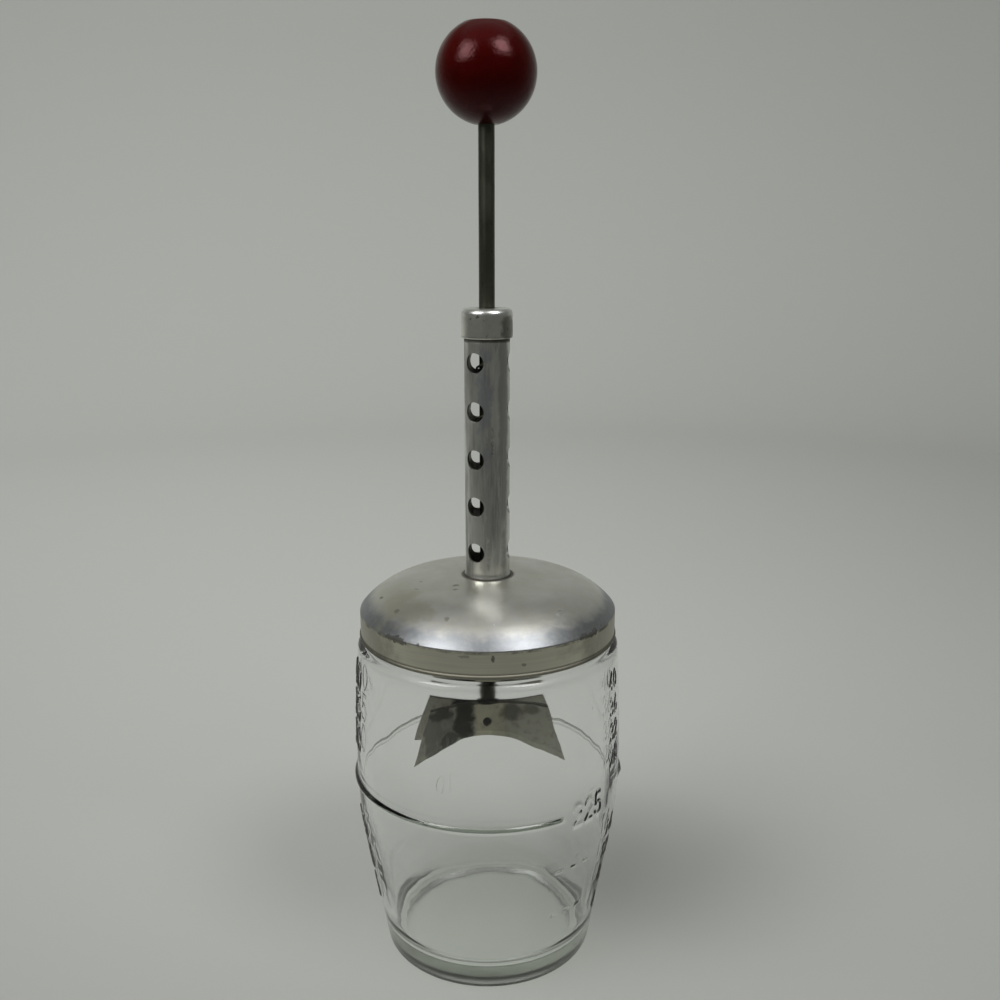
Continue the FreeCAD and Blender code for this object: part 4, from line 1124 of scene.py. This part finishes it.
class NUTCHOPPER_OT_blades(bpy.types.Operator):
    """Finish the two crossed blades"""
    bl_idname = "nutchopper.blades"
    bl_label = "Finish Blades"

    def execute(self, context):
        finish_nodes(blade_steel(context.scene.nutchopper_finish), "blade_front", "blade_back")
        return {"FINISHED"}


def studio_bowl(studio):
    """The floor and the backdrop in one: a profile turned about the upright axis, flat round the
    object, then a quarter circle up to an upright wall, open at the top. It lies a hair below the
    glass, so that their faces stay apart."""
    flat, bend, top = 0.95, 0.55, 2.2
    below_foot = 0.15 * MM
    inner_ring, floor_rings, bend_rings, columns = 0.01, 15, 24, 96
    turns = np.linspace(0, np.pi / 2, bend_rings)
    floor = np.linspace(inner_ring, flat, floor_rings + 1)[:-1]
    across = np.concatenate([floor, flat + bend * np.sin(turns), [flat + bend]])[:, None]
    up = np.concatenate([np.zeros(floor_rings), bend * (1 - np.cos(turns)), [top]])[:, None]
    azimuth = np.linspace(0, 2 * np.pi, columns, endpoint=False)
    rings = np.stack([across * np.sin(azimuth), across * np.cos(azimuth), up + 0 * azimuth], axis=-1)
    points = np.concatenate([rings.reshape(-1, 3), [(0, 0, 0)]]) - (0, 0, below_foot)
    fan = fan_faces(0, columns, len(points) - 1)
    faces = grid_faces(len(rings), columns)[:, ::-1].tolist() + fan.tolist()
    bowl = mesh_object("studio_bowl", points, faces)
    finish_piece(bowl, stage_grey(studio))


def soft_lamp(name, target, way, distance, sides, power, beam):
    """A soft rectangular lamp at a distance from a target, in a direction, turned to face it. The beam
    is the full angle that its light fills."""
    light = bpy.data.lights.new(name, "AREA")
    light.spread = math.radians(beam)
    light.shape = "RECTANGLE"
    light.size, light.size_y = sides
    light.energy = power
    lamp = bpy.data.objects.new(name, light)
    bpy.context.scene.collection.objects.link(lamp)
    way = Vector(way).normalized()
    lamp.location = Vector(target) + way * distance
    lamp.rotation_euler = way.to_track_quat("Z", "Y").to_euler()
    lamp.visible_camera = False
    lamp.visible_transmission = False
    return lamp


# The two front lamps: name, way from the knob and sides
WINDOWS = (
    ("window_left", (-0.63, -0.50, 0.60), (0.22, 0.25)),
    ("window_right", (0.49, -0.48, 0.73), (0.21, 0.22)),
)
KNOB_PLACE = (0, 0, 0.27)
WALL_BEHIND = (-0.05, 1.2, 0.22)
CAMERA_PLACE = (0.0039, -0.3278, 0.2304)
SKY_COLOUR = (1, 1, 0.98)
SENSOR_WIDTH = 36  # millimetres


class NUTCHOPPER_OT_studio(bpy.types.Operator):
    """Build the floor, the backdrop, the lamps and the camera"""
    bl_idname = "nutchopper.studio"
    bl_label = "Build Studio"

    def execute(self, context):
        scene = context.scene
        studio = scene.nutchopper_studio
        studio_bowl(studio)
        for name, way, sides in WINDOWS:
            soft_lamp(name, KNOB_PLACE, way, distance=0.45, sides=sides, power=studio.lamp_power, beam=100)
        over = soft_lamp("backdrop_lamp", WALL_BEHIND, (-0.52, -1.25, 1.0), distance=1.68, sides=(1.2, 0.8),
                         power=studio.backdrop_power, beam=115)
        over.visible_glossy = False
        world = bpy.data.worlds.new("studio_sky")
        world.use_nodes = True
        feed(world.node_tree.nodes["Background"], {"Color": SKY_COLOUR, "Strength": studio.sky})
        scene.world = world
        lens = bpy.data.cameras.new("camera")
        lens.lens = studio.focal_length
        lens.sensor_width = SENSOR_WIDTH
        lens.clip_start = 0.01
        camera = bpy.data.objects.new("camera", lens)
        scene.collection.objects.link(camera)
        camera.location = CAMERA_PLACE
        camera.rotation_euler = (math.pi / 2 - studio.camera_tilt, 0, 0)
        scene.camera = camera
        scene.view_settings.view_transform = "Standard"
        return {"FINISHED"}


OPERATORS = (
    NUTCHOPPER_OT_studio,
    NUTCHOPPER_OT_jar,
    NUTCHOPPER_OT_spring,
    NUTCHOPPER_OT_lid,
    NUTCHOPPER_OT_tube,
    NUTCHOPPER_OT_plunger,
    NUTCHOPPER_OT_knob,
    NUTCHOPPER_OT_blades,
)


class NUTCHOPPER_PT_panel(bpy.types.Panel):
    """The sidebar's list of sizes, colours and steps"""
    bl_label = "Nut Chopper"
    bl_idname = "NUTCHOPPER_PT_panel"
    bl_space_type = "VIEW_3D"
    bl_region_type = "UI"
    bl_category = "Nut Chopper"

    def draw(self, context):
        for name in SETTINGS:
            settings = getattr(context.scene, name)
            box = self.layout.box()
            for item in settings.__annotations__:
                box.prop(settings, item)
        for operator in OPERATORS:
            self.layout.operator(operator.bl_idname)


SETTINGS = {
    "nutchopper_jar": JarSettings,
    "nutchopper_spring": SpringSettings,
    "nutchopper_finish": FinishSettings,
    "nutchopper_studio": StudioSettings,
}
CLASSES = (*SETTINGS.values(), *OPERATORS, NUTCHOPPER_PT_panel)


def register():
    """Register the classes and hang the settings on the scene."""
    for cls in CLASSES:
        bpy.utils.register_class(cls)
    for name, settings in SETTINGS.items():
        setattr(bpy.types.Scene, name, bpy.props.PointerProperty(type=settings))


def unregister():
    """Take the settings and the classes away again."""
    for name in SETTINGS:
        delattr(bpy.types.Scene, name)
    for cls in reversed(CLASSES):
        bpy.utils.unregister_class(cls)


def main():
    """Build everything in order."""
    register()
    bpy.ops.nutchopper.studio()
    bpy.ops.nutchopper.jar()
    bpy.ops.nutchopper.spring()
    bpy.ops.nutchopper.lid()
    bpy.ops.nutchopper.tube()
    bpy.ops.nutchopper.plunger()
    bpy.ops.nutchopper.knob()
    bpy.ops.nutchopper.blades()


if __name__ == "__main__":
    main()
